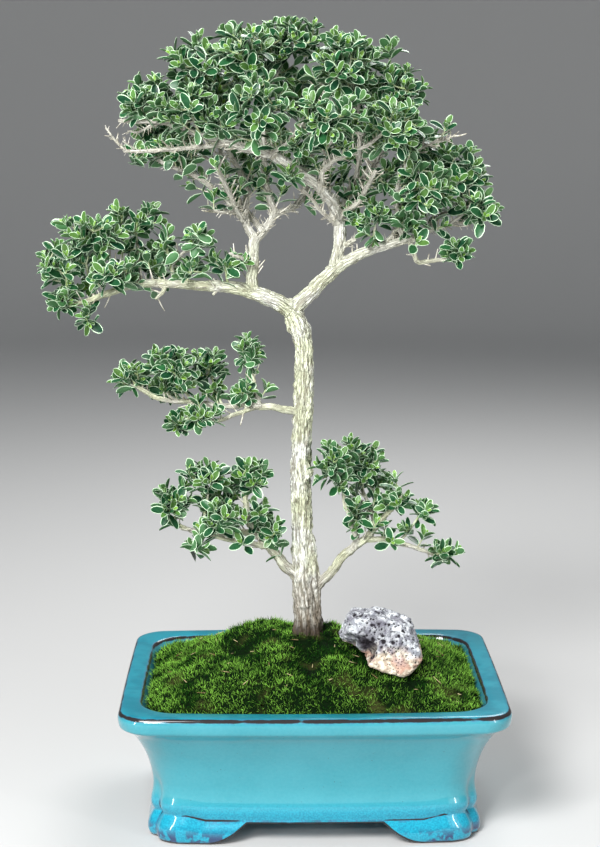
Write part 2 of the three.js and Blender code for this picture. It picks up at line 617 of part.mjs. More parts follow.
// A skin that grows from open faces. An open face is four point numbers, counter-clockwise
// from outside: low left, low right, high right, high left.
class Skin {
  points = [];

  triangles = [];

  add(point) {
    this.points.push(point);
    return this.points.length - 1;
  }

  cover([a, b, c, d]) {
    this.triangles.push([a, b, c], [a, c, d]);
  }

  middleOf(face) {
    const sum = face.reduce((total, i) => total.add(this.points[i]), new THREE.Vector3());
    return sum.divideScalar(4);
  }

  // Carries a face on to a new ring. The faces round the sides stay open.
  extend(face, ring) {
    const end = ring.map((point) => this.add(point));
    const sides = [0, 1, 2, 3].map((k) => [face[k], face[(k + 1) % 4], end[(k + 1) % 4], end[k]]);
    return { end, sides };
  }

  growLeaf([lowLeft, lowRight, highRight, highLeft], leaf) {
    const { outline, keelTop, keelBottom } = leafPoints(leaf);
    const edge = outline.map((point) => this.add(point));
    const top = this.add(keelTop);
    const bottom = this.add(keelBottom);
    const upperLoop = [highRight, highLeft, ...edge, highRight];
    const lowerLoop = [lowRight, lowLeft, ...edge, lowRight];
    for (let i = 0; i < upperLoop.length - 1; i += 1) {
      this.triangles.push([top, upperLoop[i], upperLoop[i + 1]]);
      this.triangles.push([bottom, lowerLoop[i + 1], lowerLoop[i]]);
    }
    this.triangles.push([highLeft, lowLeft, edge[0]], [highRight, edge[4], lowRight]);
  }
}

// Where the tips of a spray lie: spread round its middle, high and low by turns.
function sprayTips(heart, reach, count, seed) {
  return Array.from({ length: count }, (_, i) => {
    const azimuth = 2 * Math.PI * (chance(seed, 1) + (i + 0.3 * chance(seed, i + 2)) / count);
    const height = count === 1 ? -0.4 : 0.72 - (1.1 * i) / (count - 1);
    const level = Math.sqrt(1 - height * height);
    const spread = [level * Math.cos(azimuth), level * Math.sin(azimuth), height];
    return vector(heart.map((c, axis) => c + spread[axis] * Math.max(3, reach[axis] - 7)));
  });
}

// Whether a closed geometry reaches into any of the solids about it. Solids are freed by hand.
function touches(geometry, others) {
  const solid = solidOf(geometry);
  const box = solid.boundingBox();
  const found = others.some(({ solid: other, box: otherBox }) => {
    const apart = [0, 1, 2].some(
      (axis) => box.min[axis] > otherBox.max[axis] || otherBox.min[axis] > box.max[axis],
    );
    if (apart) return false;
    const common = solid.intersect(other);
    const shared = common.volume();
    common.delete();
    return shared > 1e-5;
  });
  solid.delete();
  return found;
}

function boxed(solid) {
  return { solid, box: solid.boundingBox() };
}

// The last stretch of a shoot: three rings, with a pair of leaves between each two. It turns
// up towards the light.
function tipRoute(from, tip) {
  const axis = tip.clone().sub(from).normalize().add(vector([0, 0, 0.9])).normalize();
  return [2, 1, 0].map((back) => {
    const point = tip.clone().addScaledVector(axis, -back * NODE_SPACING);
    return [...point.toArray(), SHOOT_RADIUS * (0.8 + 0.08 * back)];
  });
}

// Where a spray forks: more than halfway to its heart, moved aside if its main shoot would
// otherwise cross a neighbour.
function clearFork(root, heart, tip, neighbours) {
  const straight = vector(root).lerp(vector(heart), 0.6);
  const asides = [[0, 0, 0], [5, 0, 0], [-5, 0, 0], [0, 5, 0], [0, -5, 0], [0, 0, 6], [0, 0, -6]];
  const forks = asides.map((aside) => vector(aside).add(straight));
  const isClear = (fork) => {
    const stem = [root, fork.toArray()].map((point) => [...point, SHOOT_RADIUS]);
    const route = [...stem, ...tipRoute(fork, tip)];
    return !touches(branchGeometry(route, 4, { grow: SEAT_GAP }), neighbours);
  };
  return forks.find(isClear) ?? straight;
}

// Grows a shoot's last stretch from an open face, and returns the faces that leaves grow from.
function growTip(skin, face, route) {
  const centre = skin.middleOf(face);
  const firstNormal = skin.points[face[0]].clone().sub(centre);
  const start = [...centre.toArray(), SHOOT_RADIUS];
  const rings = ringsAlong([start, ...route], 4, firstNormal).slice(1);
  const stem = skin.extend(face, rings[0]);
  stem.sides.forEach((side) => skin.cover(side));
  const lower = skin.extend(stem.end, rings[1]);
  const upper = skin.extend(lower.end, rings[2]);
  const bare = [upper.end, lower.sides[1], lower.sides[3], upper.sides[0], upper.sides[2]];
  bare.forEach((side) => skin.cover(side));
  const axis = vector(route[2]).sub(vector(route[0])).normalize();
  const lowerPair = [lower.sides[0], lower.sides[2]].map((side) => ({ side, rise: 0.3, axis }));
  const upperPair = [upper.sides[1], upper.sides[3]].map((side) => ({ side, rise: 0.8, axis }));
  return [...lowerPair, ...upperPair];
}

// The open side that looks most nearly towards a point.
function facingSide(skin, sides, centre, target) {
  const wish = target.clone().sub(centre);
  const facing = (side) => skin.middleOf(side).sub(centre).dot(wish);
  return sides.reduce((best, side) => (facing(side) > facing(best) ? side : best));
}

// One spray: its main shoot with a fork, its side shoots, and every leaf that finds room.
function makeSpray([root, heart, reach, count], seed, wood, neighbours) {
  const tips = sprayTips(heart, reach, count, seed);
  const fork = clearFork(root, heart, tips[0], neighbours);
  const skin = new Skin();
  const way = fork.clone().sub(vector(root)).normalize();
  const stretch = [
    [...root, SHOOT_RADIUS * 1.2],
    [...fork.clone().addScaledVector(way, -1.4).toArray(), SHOOT_RADIUS * 1.1],
    [...fork.clone().addScaledVector(way, 1.4).toArray(), SHOOT_RADIUS * 1.1],
  ];
  const rings = ringsAlong(stretch, 4, squareTo(stretch));
  const start = rings[0].map((point) => skin.add(point));
  skin.cover(start.toReversed());
  const stem = skin.extend(start, rings[1]);
  stem.sides.forEach((side) => skin.cover(side));
  const crotch = skin.extend(stem.end, rings[2]);
  const buds = growTip(skin, crotch.end, tipRoute(fork, tips[0]));
  const mainRoute = [...stretch, ...tipRoute(fork, tips[0])];
  const grown = [boxed(solidOf(branchGeometry(mainRoute, 4)))];
  let open = crotch.sides;
  for (const tip of tips.slice(1)) {
    const side = facingSide(skin, open, fork, tip);
    const centre = skin.middleOf(side);
    const route = tipRoute(centre, tip);
    const clear = centre.clone().lerp(tip, 0.15).toArray();
    const sideRoute = [[...clear, SHOOT_RADIUS], ...route];
    const room = branchGeometry(sideRoute, 4, { grow: SEAT_GAP });
    if (!touches(room, [...neighbours, ...grown])) {
      open = open.filter((other) => other !== side);
      buds.push(...growTip(skin, side, route));
      grown.push(boxed(solidOf(branchGeometry(sideRoute, 4))));
    }
  }
  open.forEach((side) => skin.cover(side));
  buds.forEach((bud, i) => {
    const size = 0.86 + 0.26 * chance(seed, i + 40);
    const leaf = clearLeaf(skin, bud, size, [wood, ...neighbours, ...grown]);
    if (leaf) {
      skin.growLeaf(bud.side, leaf);
      grown.push(boxed(solidOf(leafRoom(leaf))));
    } else {
      skin.cover(bud.side);
    }
  });
  return solidOf(geometryFrom(skin.points, skin.triangles));
}

// A leaf on a bud, lifted or lowered until it finds room, or nothing where there is none.
function clearLeaf(skin, { side, rise, axis }, size, others) {
  const base = skin.middleOf(side);
  const [lowLeft, lowRight] = side.map((i) => skin.points[i]);
  const outward = lowRight.clone().sub(lowLeft).cross(axis).normalize();
  const plans = [0, 0.4, -0.4, 0.8, -0.7].map((lift) => {
    const along = outward.clone().addScaledVector(axis, rise + lift).normalize();
    const up = axis.clone().addScaledVector(along, -axis.dot(along)).normalize();
    return { base, along, up, size };
  });
  return plans.find((plan) => !touches(leafRoom(plan), others));
}

// Assembly

const FINISHES = {
  glaze: { color: 0x4fb3c4, roughness: 0.18, metalness: 0 },
  mesh: { color: 0x2b2b2b, roughness: 0.6, metalness: 0 },
  soil: { color: 0x2c2119, roughness: 0.95, metalness: 0 },
  moss: { color: 0x3f7a1e, roughness: 0.95, metalness: 0 },
  stone: { color: 0xb9b3ac, roughness: 0.9, metalness: 0 },
  bark: { color: 0xb6aa8c, roughness: 0.85, metalness: 0 },
  foliage: { color: 0x3c6b3a, roughness: 0.55, metalness: 0 },
};

function addMesh(group, name, solid, finish) {
  const material = new THREE.MeshStandardMaterial(FINISHES[finish]);
  const mesh = new THREE.Mesh(geometryOf(solid), material);
  mesh.name = name;
  group.add(mesh);
}

function buildTree(group, wood, woodClearance) {
  const made = [];
  let seed = 0;
  for (const [part, sprays] of Object.entries(SPRAYS)) {
    sprays.forEach((spec, i) => {
      seed += 1;
      const spray = makeSpray(spec, seed, boxed(woodClearance), made);
      const seated = largestBody(spray.subtract(woodClearance));
      made.push(boxed(seated));
      const number = String(i + 1).padStart(2, "0");
      addMesh(group, `${part}_spray_${number}`, seated, "foliage");
    });
  }
  addMesh(group, "trunk", wood, "bark");
}

function buildPotAndGround(group) {
  addMesh(group, "pot", makePot(), "glaze");
  addMesh(group, "drain_mesh_left", makeDrainMesh(-DRAIN_HOLE_X), "mesh");
  addMesh(group, "drain_mesh_right", makeDrainMesh(DRAIN_HOLE_X), "mesh");
  const soil = makeSoil()
    .subtract(drainMeshClearance(-DRAIN_HOLE_X))
    .subtract(drainMeshClearance(DRAIN_HOLE_X))
    .subtract(trunkHole());
  addMesh(group, "soil", soil, "soil");
  const moss = makeMoss().subtract(trunkHole()).subtract(makeStone(SEAT_GAP));
  addMesh(group, "moss", largestBody(moss), "moss");
  addMesh(group, "stone", makeStone(0), "stone");
}

const assembly = new THREE.Group();
const wood = makeWood(0);
const woodClearance = makeWood(SEAT_GAP);
buildPotAndGround(assembly);
buildTree(assembly, wood, woodClearance);

const box = new THREE.Box3().setFromObject(assembly);
assembly.position.set(-(box.min.x + box.max.x) / 2, -(box.min.y + box.max.y) / 2, -box.min.z);

export default assembly;
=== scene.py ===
# %% [markdown]
# A serissa bonsai grows in a glazed pot, out of a mound of moss with a lava stone beside it.
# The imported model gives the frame: where each piece sits and how large it is. Every piece that
# shows is made again here with its fine surface, and stands for the plain solid of that frame.

# %% Load the frame
import math

import bmesh
import bpy
import numpy as np
from mathutils import Matrix, Vector, kdtree, noise


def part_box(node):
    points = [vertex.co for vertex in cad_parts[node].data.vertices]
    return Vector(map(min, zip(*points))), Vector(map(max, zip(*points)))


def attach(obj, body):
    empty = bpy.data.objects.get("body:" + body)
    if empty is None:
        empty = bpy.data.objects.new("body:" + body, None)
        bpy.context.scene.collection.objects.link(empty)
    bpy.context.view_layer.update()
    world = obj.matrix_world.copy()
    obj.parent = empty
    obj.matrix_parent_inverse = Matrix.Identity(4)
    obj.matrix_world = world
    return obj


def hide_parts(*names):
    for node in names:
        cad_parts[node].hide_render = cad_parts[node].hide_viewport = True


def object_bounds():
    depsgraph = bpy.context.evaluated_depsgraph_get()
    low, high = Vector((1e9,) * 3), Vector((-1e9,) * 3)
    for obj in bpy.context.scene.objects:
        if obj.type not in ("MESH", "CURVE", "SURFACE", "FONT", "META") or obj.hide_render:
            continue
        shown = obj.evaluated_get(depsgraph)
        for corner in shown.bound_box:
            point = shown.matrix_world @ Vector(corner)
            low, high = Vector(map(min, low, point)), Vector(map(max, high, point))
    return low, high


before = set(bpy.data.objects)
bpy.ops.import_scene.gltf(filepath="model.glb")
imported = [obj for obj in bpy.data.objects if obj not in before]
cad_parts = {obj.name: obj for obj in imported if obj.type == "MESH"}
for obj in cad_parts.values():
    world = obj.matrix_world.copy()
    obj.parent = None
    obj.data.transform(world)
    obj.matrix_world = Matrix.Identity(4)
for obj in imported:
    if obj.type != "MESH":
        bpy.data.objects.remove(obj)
cad_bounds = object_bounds()
print("frame nodes:", len(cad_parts))

# %% [markdown]
# All sizes below are in millimetres about the middle of the pot's base, as a potter or a
# grower would measure them. Blender works in metres, so one small function turns such a place
# into a point of the scene. The pot's own box says where its middle is.

# %% Units and places
MM = 0.001
pot_low, pot_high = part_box("pot")
POT_MIDDLE = Vector(((pot_low.x + pot_high.x) / 2, (pot_low.y + pot_high.y) / 2, pot_low.z))
UP = Vector((0, 0, 1))


def spot(x, y, z):
    """A point of the scene from millimetres about the middle of the pot's base."""
    return POT_MIDDLE + Vector((x, y, z)) * MM


FLAT_STEPS = (0.7548776662, 0.5698402910)
DEEP_STEPS = (0.8191725134, 0.6710436067, 0.5497004779)


def spread_evenly(index, steps):
    """Numbers from 0 to 1, one for each step, that fill a square or a cube evenly as the index
    counts up."""
    return [(0.5 + (index + 1) * step) % 1 for step in steps]


def chance(first, second=0):
    """A repeatable number from 0 to 1 for a pair of counts."""
    wave = math.sin(first * 127.1 + second * 311.7) * 43758.5453
    return wave - math.floor(wave)


# The noise that bends the branches starts from the time of day unless it is given a seed.
NOISE_SEED = 7
noise.seed_set(NOISE_SEED)
print("middle of the pot:", tuple(round(value, 4) for value in POT_MIDDLE))

# %% [markdown]
# A few small helpers keep the pieces alike. One turns a bmesh into an object whose origin stays
# at the world's, rides it on the frame, gives it its one material and hides the nodes that it
# stands for. The others set shading nodes: a material is a short list of nodes with their values,
# and most of its lines lay one more colour over the ones before, as strongly as a mask says.

# %% Helpers for pieces


def add_object(name, data):
    """A new object in the scene."""
    holder = bpy.data.objects.new(name, data)
    bpy.context.scene.collection.objects.link(holder)
    return holder


def mesh_from(bm, name):
    """A mesh made from a bmesh, which is used up."""
    mesh = bpy.data.meshes.new(name)
    bm.to_mesh(mesh)
    bm.free()
    return mesh


def applied_mesh(holder):
    """The mesh of an object with its modifiers or its bevel applied."""
    bpy.context.view_layer.update()
    depsgraph = bpy.context.evaluated_depsgraph_get()
    return bpy.data.meshes.new_from_object(holder.evaluated_get(depsgraph))


def cover(mesh, material):
    """Gives a mesh its one material and smooth shading."""
    mesh.materials.clear()
    mesh.materials.append(material)
    mesh.polygons.foreach_set("use_smooth", [True] * len(mesh.polygons))


def write_values(mesh, name, values):
    """Writes a value for each point on a mesh, for the material to read."""
    mesh.attributes.new(name, "FLOAT", "POINT").data.foreach_set("value", values)


def move_points(mesh, places):
    """Puts the points of a mesh at new places."""
    mesh.vertices.foreach_set("co", [value for place in places for value in place])
    mesh.update()


def add_piece(name, source, material, nodes=(), sharp_angle=None):
    """Turns a bmesh or a mesh into a finished piece of the object."""
    mesh = mesh_from(source, name) if isinstance(source, bmesh.types.BMesh) else source
    mesh.name = name
    cover(mesh, material)
    if sharp_angle is not None:
        mesh.set_sharp_from_angle(angle=math.radians(sharp_angle))
    piece = add_object(name, mesh)
    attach(piece, "root")
    if nodes:
        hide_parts(*nodes)
    mesh.calc_loop_triangles()
    print(name, "triangles:", len(mesh.loop_triangles))
    return piece


# %% Helpers for materials


def new_material(name, roughness, specular=0.5):
    """A material with its Principled shader, its node tree and the place on the object, in
    metres, as the coordinates of its patterns."""
    material = bpy.data.materials.new(name)
    material.use_nodes = True
    tree = material.node_tree
    shader = tree.nodes["Principled BSDF"]
    shader.inputs["Roughness"].default_value = roughness
    shader.inputs["Specular IOR Level"].default_value = specular
    return material, shader, tree, tree.nodes.new("ShaderNodeTexCoord").outputs["Object"]


def add_node(tree, kind, settings=None, **inputs):
    """Adds a node, with its settings, and with values or links for its inputs by name."""
    node = tree.nodes.new(kind)
    for key, value in (settings or {}).items():
        setattr(node, key, value)
    for key, value in inputs.items():
        connect(tree, value, node.inputs[key.replace("_", " ")])
    return node


def connect(tree, value, socket):
    """Links an output to a socket, or writes a plain value in it."""
    if isinstance(value, bpy.types.NodeSocket):
        tree.links.new(value, socket)
    else:
        socket.default_value = value


def calculate(tree, operation, first, second=0.5, third=0.5):
    """A math node's result."""
    node = tree.nodes.new("ShaderNodeMath")
    node.operation = operation
    for socket, value in zip(node.inputs, (first, second, third)):
        connect(tree, value, socket)
    return node.outputs["Value"]


def times(tree, first, second):
    """The product of two values."""
    return calculate(tree, "MULTIPLY", first, second)


def blend_colours(tree, share, first, second):
    """The mix of two colours: the second one's share runs from 0 to 1."""
    node = tree.nodes.new("ShaderNodeMix")
    node.data_type = "RGBA"
    connect(tree, share, node.inputs[0])
    for number, colour in ((6, first), (7, second)):
        connect(tree, (*colour, 1) if isinstance(colour, tuple) else colour, node.inputs[number])
    return node.outputs[2]


def lay_over(tree, colour, mask, strength, over):
    """A colour with another one laid over it, as strongly as a mask says."""
    return blend_colours(tree, times(tree, mask, strength), colour, over)


def step_between(tree, value, low, high):
    """A smooth step: 0 below the low value, 1 above the high one."""
    node = tree.nodes.new("ShaderNodeMapRange")
    node.interpolation_type = "SMOOTHSTEP"
    connect(tree, value, node.inputs["Value"])
    node.inputs["From Min"].default_value = low
    node.inputs["From Max"].default_value = high
    return node.outputs["Result"]


def step_down(tree, value, low, high):
    """A smooth step down: 1 below the low value, 0 above the high one."""
    return calculate(tree, "SUBTRACT", 1, step_between(tree, value, low, high))


def read_attribute(tree, name, output="Fac"):
    """A value that the mesh carries on its points."""
    return add_node(tree, "ShaderNodeAttribute", {"attribute_name": name}).outputs[output]


def height_of(tree, place):
    """The height of a place, in metres."""
    return add_node(tree, "ShaderNodeSeparateXYZ", Vector=place).outputs["Z"]


def add_bump(tree, shader, height, distance, strength=1.0):
    """Gives the shader a relief from a height that varies."""
    bump = add_node(tree, "ShaderNodeBump", Height=height, Strength=strength, Distance=distance)
    tree.links.new(bump.outputs["Normal"], shader.inputs["Normal"])


# %% [markdown]
# Clouded patches turn up in most of these finishes: in the glaze, the moss, the stone and the
# bark. A node group holds that effect once. It puts out a mask that runs from 0 to 1 over the
# surface, from a noise that is stretched to the contrast which each material asks for.

# %% Shared effect: patches


def make_patches_group():
    """A node group: a noise mask of a given scale, with its own threshold and softness."""
    group = bpy.data.node_groups.new("patches", "ShaderNodeTree")
    for name, kind, value in (
        ("Place", "NodeSocketVector", None),
        ("Scale", "NodeSocketFloat", 100.0),
        ("Detail", "NodeSocketFloat", 3.0),
        ("Middle", "NodeSocketFloat", 0.5),
        ("Softness", "NodeSocketFloat", 0.1),
    ):
        socket = group.interface.new_socket(name, in_out="INPUT", socket_type=kind)
        if value is not None:
            socket.default_value = value
    group.interface.new_socket("Mask", in_out="OUTPUT", socket_type="NodeSocketFloat")
    inside = group.nodes.new("NodeGroupInput").outputs
    result = group.nodes.new("NodeGroupOutput").inputs
    cloud = add_node(
        group, "ShaderNodeTexNoise",
        Vector=inside["Place"], Scale=inside["Scale"], Detail=inside["Detail"],
    )
    spread_out = add_node(
        group, "ShaderNodeMapRange", {"interpolation_type": "SMOOTHSTEP"},
        Value=cloud.outputs["Fac"],
        From_Min=calculate(group, "SUBTRACT", inside["Middle"], inside["Softness"]),
        From_Max=calculate(group, "ADD", inside["Middle"], inside["Softness"]),
    )
    group.links.new(spread_out.outputs["Result"], result["Mask"])
    return group


PATCHES = make_patches_group()


def patches(tree, place, scale, middle=0.5, softness=0.1, detail=3.0):
    """The mask of the patches group, with this material's own values."""
    node = tree.nodes.new("ShaderNodeGroup")
    node.node_tree = PATCHES
    values = {"Place": place, "Scale": scale, "Detail": detail, "Middle": middle, "Softness": softness}
    for key, value in values.items():
        connect(tree, value, node.inputs[key])
    return node.outputs["Mask"]


# %% [markdown]
# The camera stands where the photograph was taken: a little above the middle of the tree,
# about 1.2 m in front, looking down by ten degrees. Its place was worked out from the four
# corners of the pot's rim. The lens is given by how many pixels a metre at one metre covers.

# %% Camera
PHOTO_HEIGHT = 847
FOCAL_PIXELS = 1762.2
CAMERA_PLACE = (-26.2, -1158.0, 477.3)
CAMERA_PITCH = 10.43
CAMERA_YAW = 0.87
SENSOR_HEIGHT = 36

lens = bpy.data.cameras.new("camera")
lens.sensor_fit = "VERTICAL"
lens.sensor_height = SENSOR_HEIGHT
lens.lens = SENSOR_HEIGHT * FOCAL_PIXELS / PHOTO_HEIGHT
lens.clip_start = 0.05
camera = add_object("camera", lens)
camera.location = spot(*CAMERA_PLACE)
camera.rotation_euler = (math.radians(90 - CAMERA_PITCH), 0, -math.radians(CAMERA_YAW))
bpy.context.scene.camera = camera
bpy.context.scene.view_settings.view_transform = "Standard"
print("lens:", round(lens.lens, 2), "mm")

# %% [markdown]
# The table is left out: a plain pale floor takes its place. It is a grid bent into a wide bowl,
# flat round the pot and curving up into a wall far away, like the cove of a photo studio, so that
# no horizon shows behind the tree from any side.

# %% Floor
FLAT_RADIUS = 2.4
COVE_RADIUS = 1.2
WALL_HEIGHT = 1.2
FLOOR_RINGS = 60
FLOOR_SPOKES = 96


def floor_profile(share):
    """How far out and how high the floor is at a share of the way along it, in metres."""
    past = share * (FLAT_RADIUS + COVE_RADIUS * math.pi / 2 + WALL_HEIGHT) - FLAT_RADIUS
    if past < 0:
        return FLAT_RADIUS + past, 0
    angle = min(past / COVE_RADIUS, math.pi / 2)
    wall = past - angle * COVE_RADIUS
    return FLAT_RADIUS + COVE_RADIUS * math.sin(angle), COVE_RADIUS * (1 - math.cos(angle)) + wall


def make_floor():
    """A pale sheet that lies under the pot and curves up all round it."""
    bm = bmesh.new()
    bmesh.ops.create_grid(bm, x_segments=FLOOR_RINGS, y_segments=FLOOR_SPOKES, size=1)
    for vert in bm.verts:
        out, height = floor_profile((vert.co.x + 1) / 2)
        azimuth = math.pi * vert.co.y
        vert.co = (out * math.cos(azimuth), out * math.sin(azimuth), height)
    bmesh.ops.remove_doubles(bm, verts=bm.verts[:], dist=1e-5)
    bmesh.ops.recalc_face_normals(bm, faces=bm.faces[:])
    material, shader, *_ = new_material("pale_floor", 0.8, 0.2)
    shader.inputs["Base Color"].default_value = (0.50, 0.50, 0.495, 1)
    mesh = mesh_from(bm, "floor")
    cover(mesh, material)
    floor = add_object("floor", mesh)


make_floor()

# %% [markdown]
# Soft light comes from a large panel in front and above on the left, a weaker one on the
# right, and one behind that draws the edges of the leaves. A small lamp beside the camera and two
# upright strips, left and right of it, give the glaze its crisp glints. The world adds a pale fill.

# %% Light


def add_light(name, place, size, watts, aim=(0, 0, 260), height=None):
    """A panel of light that faces a point of the tree: square, unless it has its own height."""
    light = bpy.data.lights.new(name, "AREA")
    light.shape = "RECTANGLE"
    light.size = size
    light.size_y = height or size
    light.energy = watts
    holder = add_object(name, light)
    holder.location = spot(*place)
    direction = spot(*aim) - holder.location
    holder.rotation_euler = direction.to_track_quat("-Z", "Y").to_euler()


add_light("key_light", (-600, -1150, 1300), 0.6, 46)
add_light("fill_light", (1000, -1100, 600), 1.0, 4)
add_light("glint_light", (-330, -1150, 640), 0.1, 3.5)
add_light("left_strip_light", (-720, -640, 300), 0.035, 2.6, (-60, -60, 80), 0.5)
add_light("right_strip_light", (700, -660, 300), 0.035, 2.0, (60, -60, 80), 0.5)
add_light("rim_light", (400, 900, 1200), 0.7, 14)

world = bpy.data.worlds.new("studio")
world.use_nodes = True
sky = world.node_tree.nodes["Background"].inputs
sky["Color"].default_value = (0.8, 0.85, 0.9, 1)
sky["Strength"].default_value = 0.26
bpy.context.scene.world = world

# %% [markdown]
# The pot was pressed in a mould and dipped in glaze. Its wall is a stack of rounded rectangles
# whose sides bow a little, so a grid wrapped round and placed row by row gives its whole skin:
# out over the feet, up the wall, over the rim and down inside. A row is given by its height, how
# far it lies inside the rim's edge on the long and the short sides, the radius of its corners,
# the depth of the crease in each corner, and how widely the profile rounds over there.

# %% Pot: levels of the wall
RIM_HALF_WIDTH = 127
RIM_HALF_DEPTH = 95
SIDE_BOW = 4
FOOT_HEIGHT = 14
FRONT_GAP = (46.5, 72)
SIDE_GAP = (31, 43)
HOLLOW_HALF_WIDTH = 92
HOLLOW_HALF_DEPTH = 60
WALL_LEVELS = [
    (0, 19.4, 18.6, 21, 2.6, 0),
    (2, 17.6, 17, 22, 2.8, 1.5),
    (8, 16.8, 16.2, 23, 3, 4),
    (16, 21.2, 20.2, 22, 3.6, 1),
    (22, 18.8, 18.2, 22, 3.6, 4),
    (33, 21.4, 20.8, 22, 2.6, 8),
    (45, 19.8, 19.2, 23, 0, 8),
    (57, 16.4, 15.8, 24, 0, 8),
    (67, 12, 11.2, 24, 0, 5),
    (75, 8, 7, 22, 0, 3),
    (79, 4, 3.4, 20, 0, 1.4),
]
WALL_TOP = WALL_LEVELS[-1][0]
RIM_LEVELS = [
    (81.2, 0.9, 0.8, 18.5, 0, 1.4),
    (88.4, 0, 0, 18, 0, 2.6),
    (92, 2.2, 2.2, 17, 0, 1.8),
    (91.4, 14, 14, 24, 0, 1.6),
    (86, 16.5, 16.5, 20, 0, 2),
    (76, 22, 22, 18, 0, 0),
    (20, 28, 28, 14, 0, 0),
]


def soften(levels, steps=4):
    """Rounds a profile over at each level, by as much as its last value says."""
    rows = [np.array(level[:-1], float) for level in levels]
    softened = [rows[0]]
    for before, level, after, row in zip(rows, rows[1:], rows[2:], levels[1:]):
        radius = row[-1]
        if radius == 0:
            softened.append(level)
            continue
        back = before - level
        ahead = after - level
        start = level + back * min(0.48, radius / np.hypot(back[0], back[1]))
        end = level + ahead * min(0.48, radius / np.hypot(ahead[0], ahead[1]))
        for t in np.linspace(0, 1, steps):
            softened.append((1 - t) ** 2 * start + 2 * t * (1 - t) * level + t * t * end)
    softened.append(rows[-1])
    return np.array(softened)


POT_PROFILE = soften(WALL_LEVELS + RIM_LEVELS)
print("rows of the pot's profile:", len(POT_PROFILE))

# %% Pot: one ring
CORNER_STEPS = 20
LONG_STEPS = 64
SHORT_STEPS = 40


def ring_spots():
    """Where the columns of the pot stand: the corner they belong to, their angle, and their
    share of the way along a straight side."""
    spots = []
    for quarter, side_steps in enumerate((LONG_STEPS, SHORT_STEPS, LONG_STEPS, SHORT_STEPS)):
        for step in range(CORNER_STEPS + 1):
            spots.append((quarter, step / CORNER_STEPS, 0))
        for step in range(1, side_steps):
            spots.append((quarter, 1, step / side_steps))
    return spots


RING_SPOTS = ring_spots()
CORNER_SIGNS = [(1, 1), (-1, 1), (-1, -1), (1, -1)]
CREASE_SHARES = [0.36, 0.64, 0.36, 0.64]
CREASE_WIDTH = 0.3
SHORT_SIDE_BOW = 0.2 * SIDE_BOW


def corner_point(quarter, share, level):
    """A point on one of the pot's rounded corners."""
    _, inset_x, inset_y, corner, crease = level
    sign_x, sign_y = CORNER_SIGNS[quarter]
    angle = math.pi / 2 * (quarter + share)
    away = min(1, abs(share - CREASE_SHARES[quarter]) / CREASE_WIDTH)
    radius = corner - crease * (0.5 + 0.5 * math.cos(math.pi * away)) ** 2.2
    x = sign_x * (RIM_HALF_WIDTH - inset_x - corner) + radius * math.cos(angle)
    y = sign_y * (RIM_HALF_DEPTH - inset_y - corner) + radius * math.sin(angle)
    return x, y


def ring_point(column, level):
    """A point of the pot's outline at a level, in millimetres."""
    quarter, share, along = RING_SPOTS[column % len(RING_SPOTS)]
    x, y = corner_point(quarter, share, level)
    if along:
        next_x, next_y = corner_point((quarter + 1) % 4, 0, level)
        x += (next_x - x) * along
        y += (next_y - y) * along
    half_width = RIM_HALF_WIDTH - level[1]
    half_depth = RIM_HALF_DEPTH - level[2]
    across = min(1, abs(x) / half_width)
    deep = min(1, abs(y) / half_depth)
    y *= 1 + SIDE_BOW / half_depth * (1 - across**2)
    x *= 1 + SHORT_SIDE_BOW / half_width * (1 - deep**2)
    return x, y


print("columns of the pot:", len(RING_SPOTS))

# %% [markdown]
# Between the feet the lower edge of the wall rises like a bracket: the toe of each foot sweeps
# up and back. The rows below the waist follow that edge, closer together where it is high, and
# each takes its place in or out from the wall's profile at its own height. So the feet need no
# cutting, and the glaze can run over their edges as it does on the real pot.

# %% Pot: feet
WAIST_HEIGHT = 31
EDGE_ROUNDING = [(1.5, 0.0), (0.5, 0.35), (0.0, 1.3)]
# How dark the three rows of the lower edge are painted: thin glaze with painted shade under the edge.
EDGE_BROWN_AND_SHADE = [0.9, 1.0, 0.75]
PINCH_HEIGHT = 16
PINCH_WIDTH = 0.75
PINCH_RISE = 3
PINCH_RISE_REACH = 20
FOLD_WIDTH = 0.045
OUTER_RIM_EDGE = (90.8, 1.1)
INNER_RIM_EDGE = (90.6, 14.8)
RIM_EDGE_WIDTH = 1.6
WALL_ROWS = int(np.argmax(POT_PROFILE[:, 0] >= WALL_TOP))


def bracket(distance, gap):
    """Height of the lower edge at a distance from the middle of a side."""
    throat, mouth = gap
    toe = min(1, max(0, (distance - throat) / (mouth - throat)))
    return FOOT_HEIGHT * (1 - toe) ** 2.1


def lower_edge(column, x, y):
    """Height of the wall's lower edge at a point of the outline."""
    quarter, share, along = RING_SPOTS[column % len(RING_SPOTS)]
    on_side = share == 1 and along > 0
    if not on_side:
        return 0
    return bracket(abs(x), FRONT_GAP) if quarter % 2 == 0 else bracket(abs(y), SIDE_GAP)


def near_corner(column):
    """1 where a long side meets a corner, falling to 0 along the side and round the corner."""
    quarter, share, along = RING_SPOTS[column % len(RING_SPOTS)]
    if not along:
        return share if quarter % 2 == 0 else 1 - share
    if quarter % 2 == 1:
        return 0
    return max(0, 1 - min(along, 1 - along) * 2 * RIM_HALF_WIDTH / PINCH_RISE_REACH)


def wall_level_at(height):
    """The wall's profile at any height below the rim."""
    wall = POT_PROFILE[POT_PROFILE[:, 0] <= WALL_TOP]
    wall = wall[: int(np.argmax(wall[:, 0])) + 1]
    return [height] + [float(np.interp(height, wall[:, 0], wall[:, i])) for i in range(1, 5)]


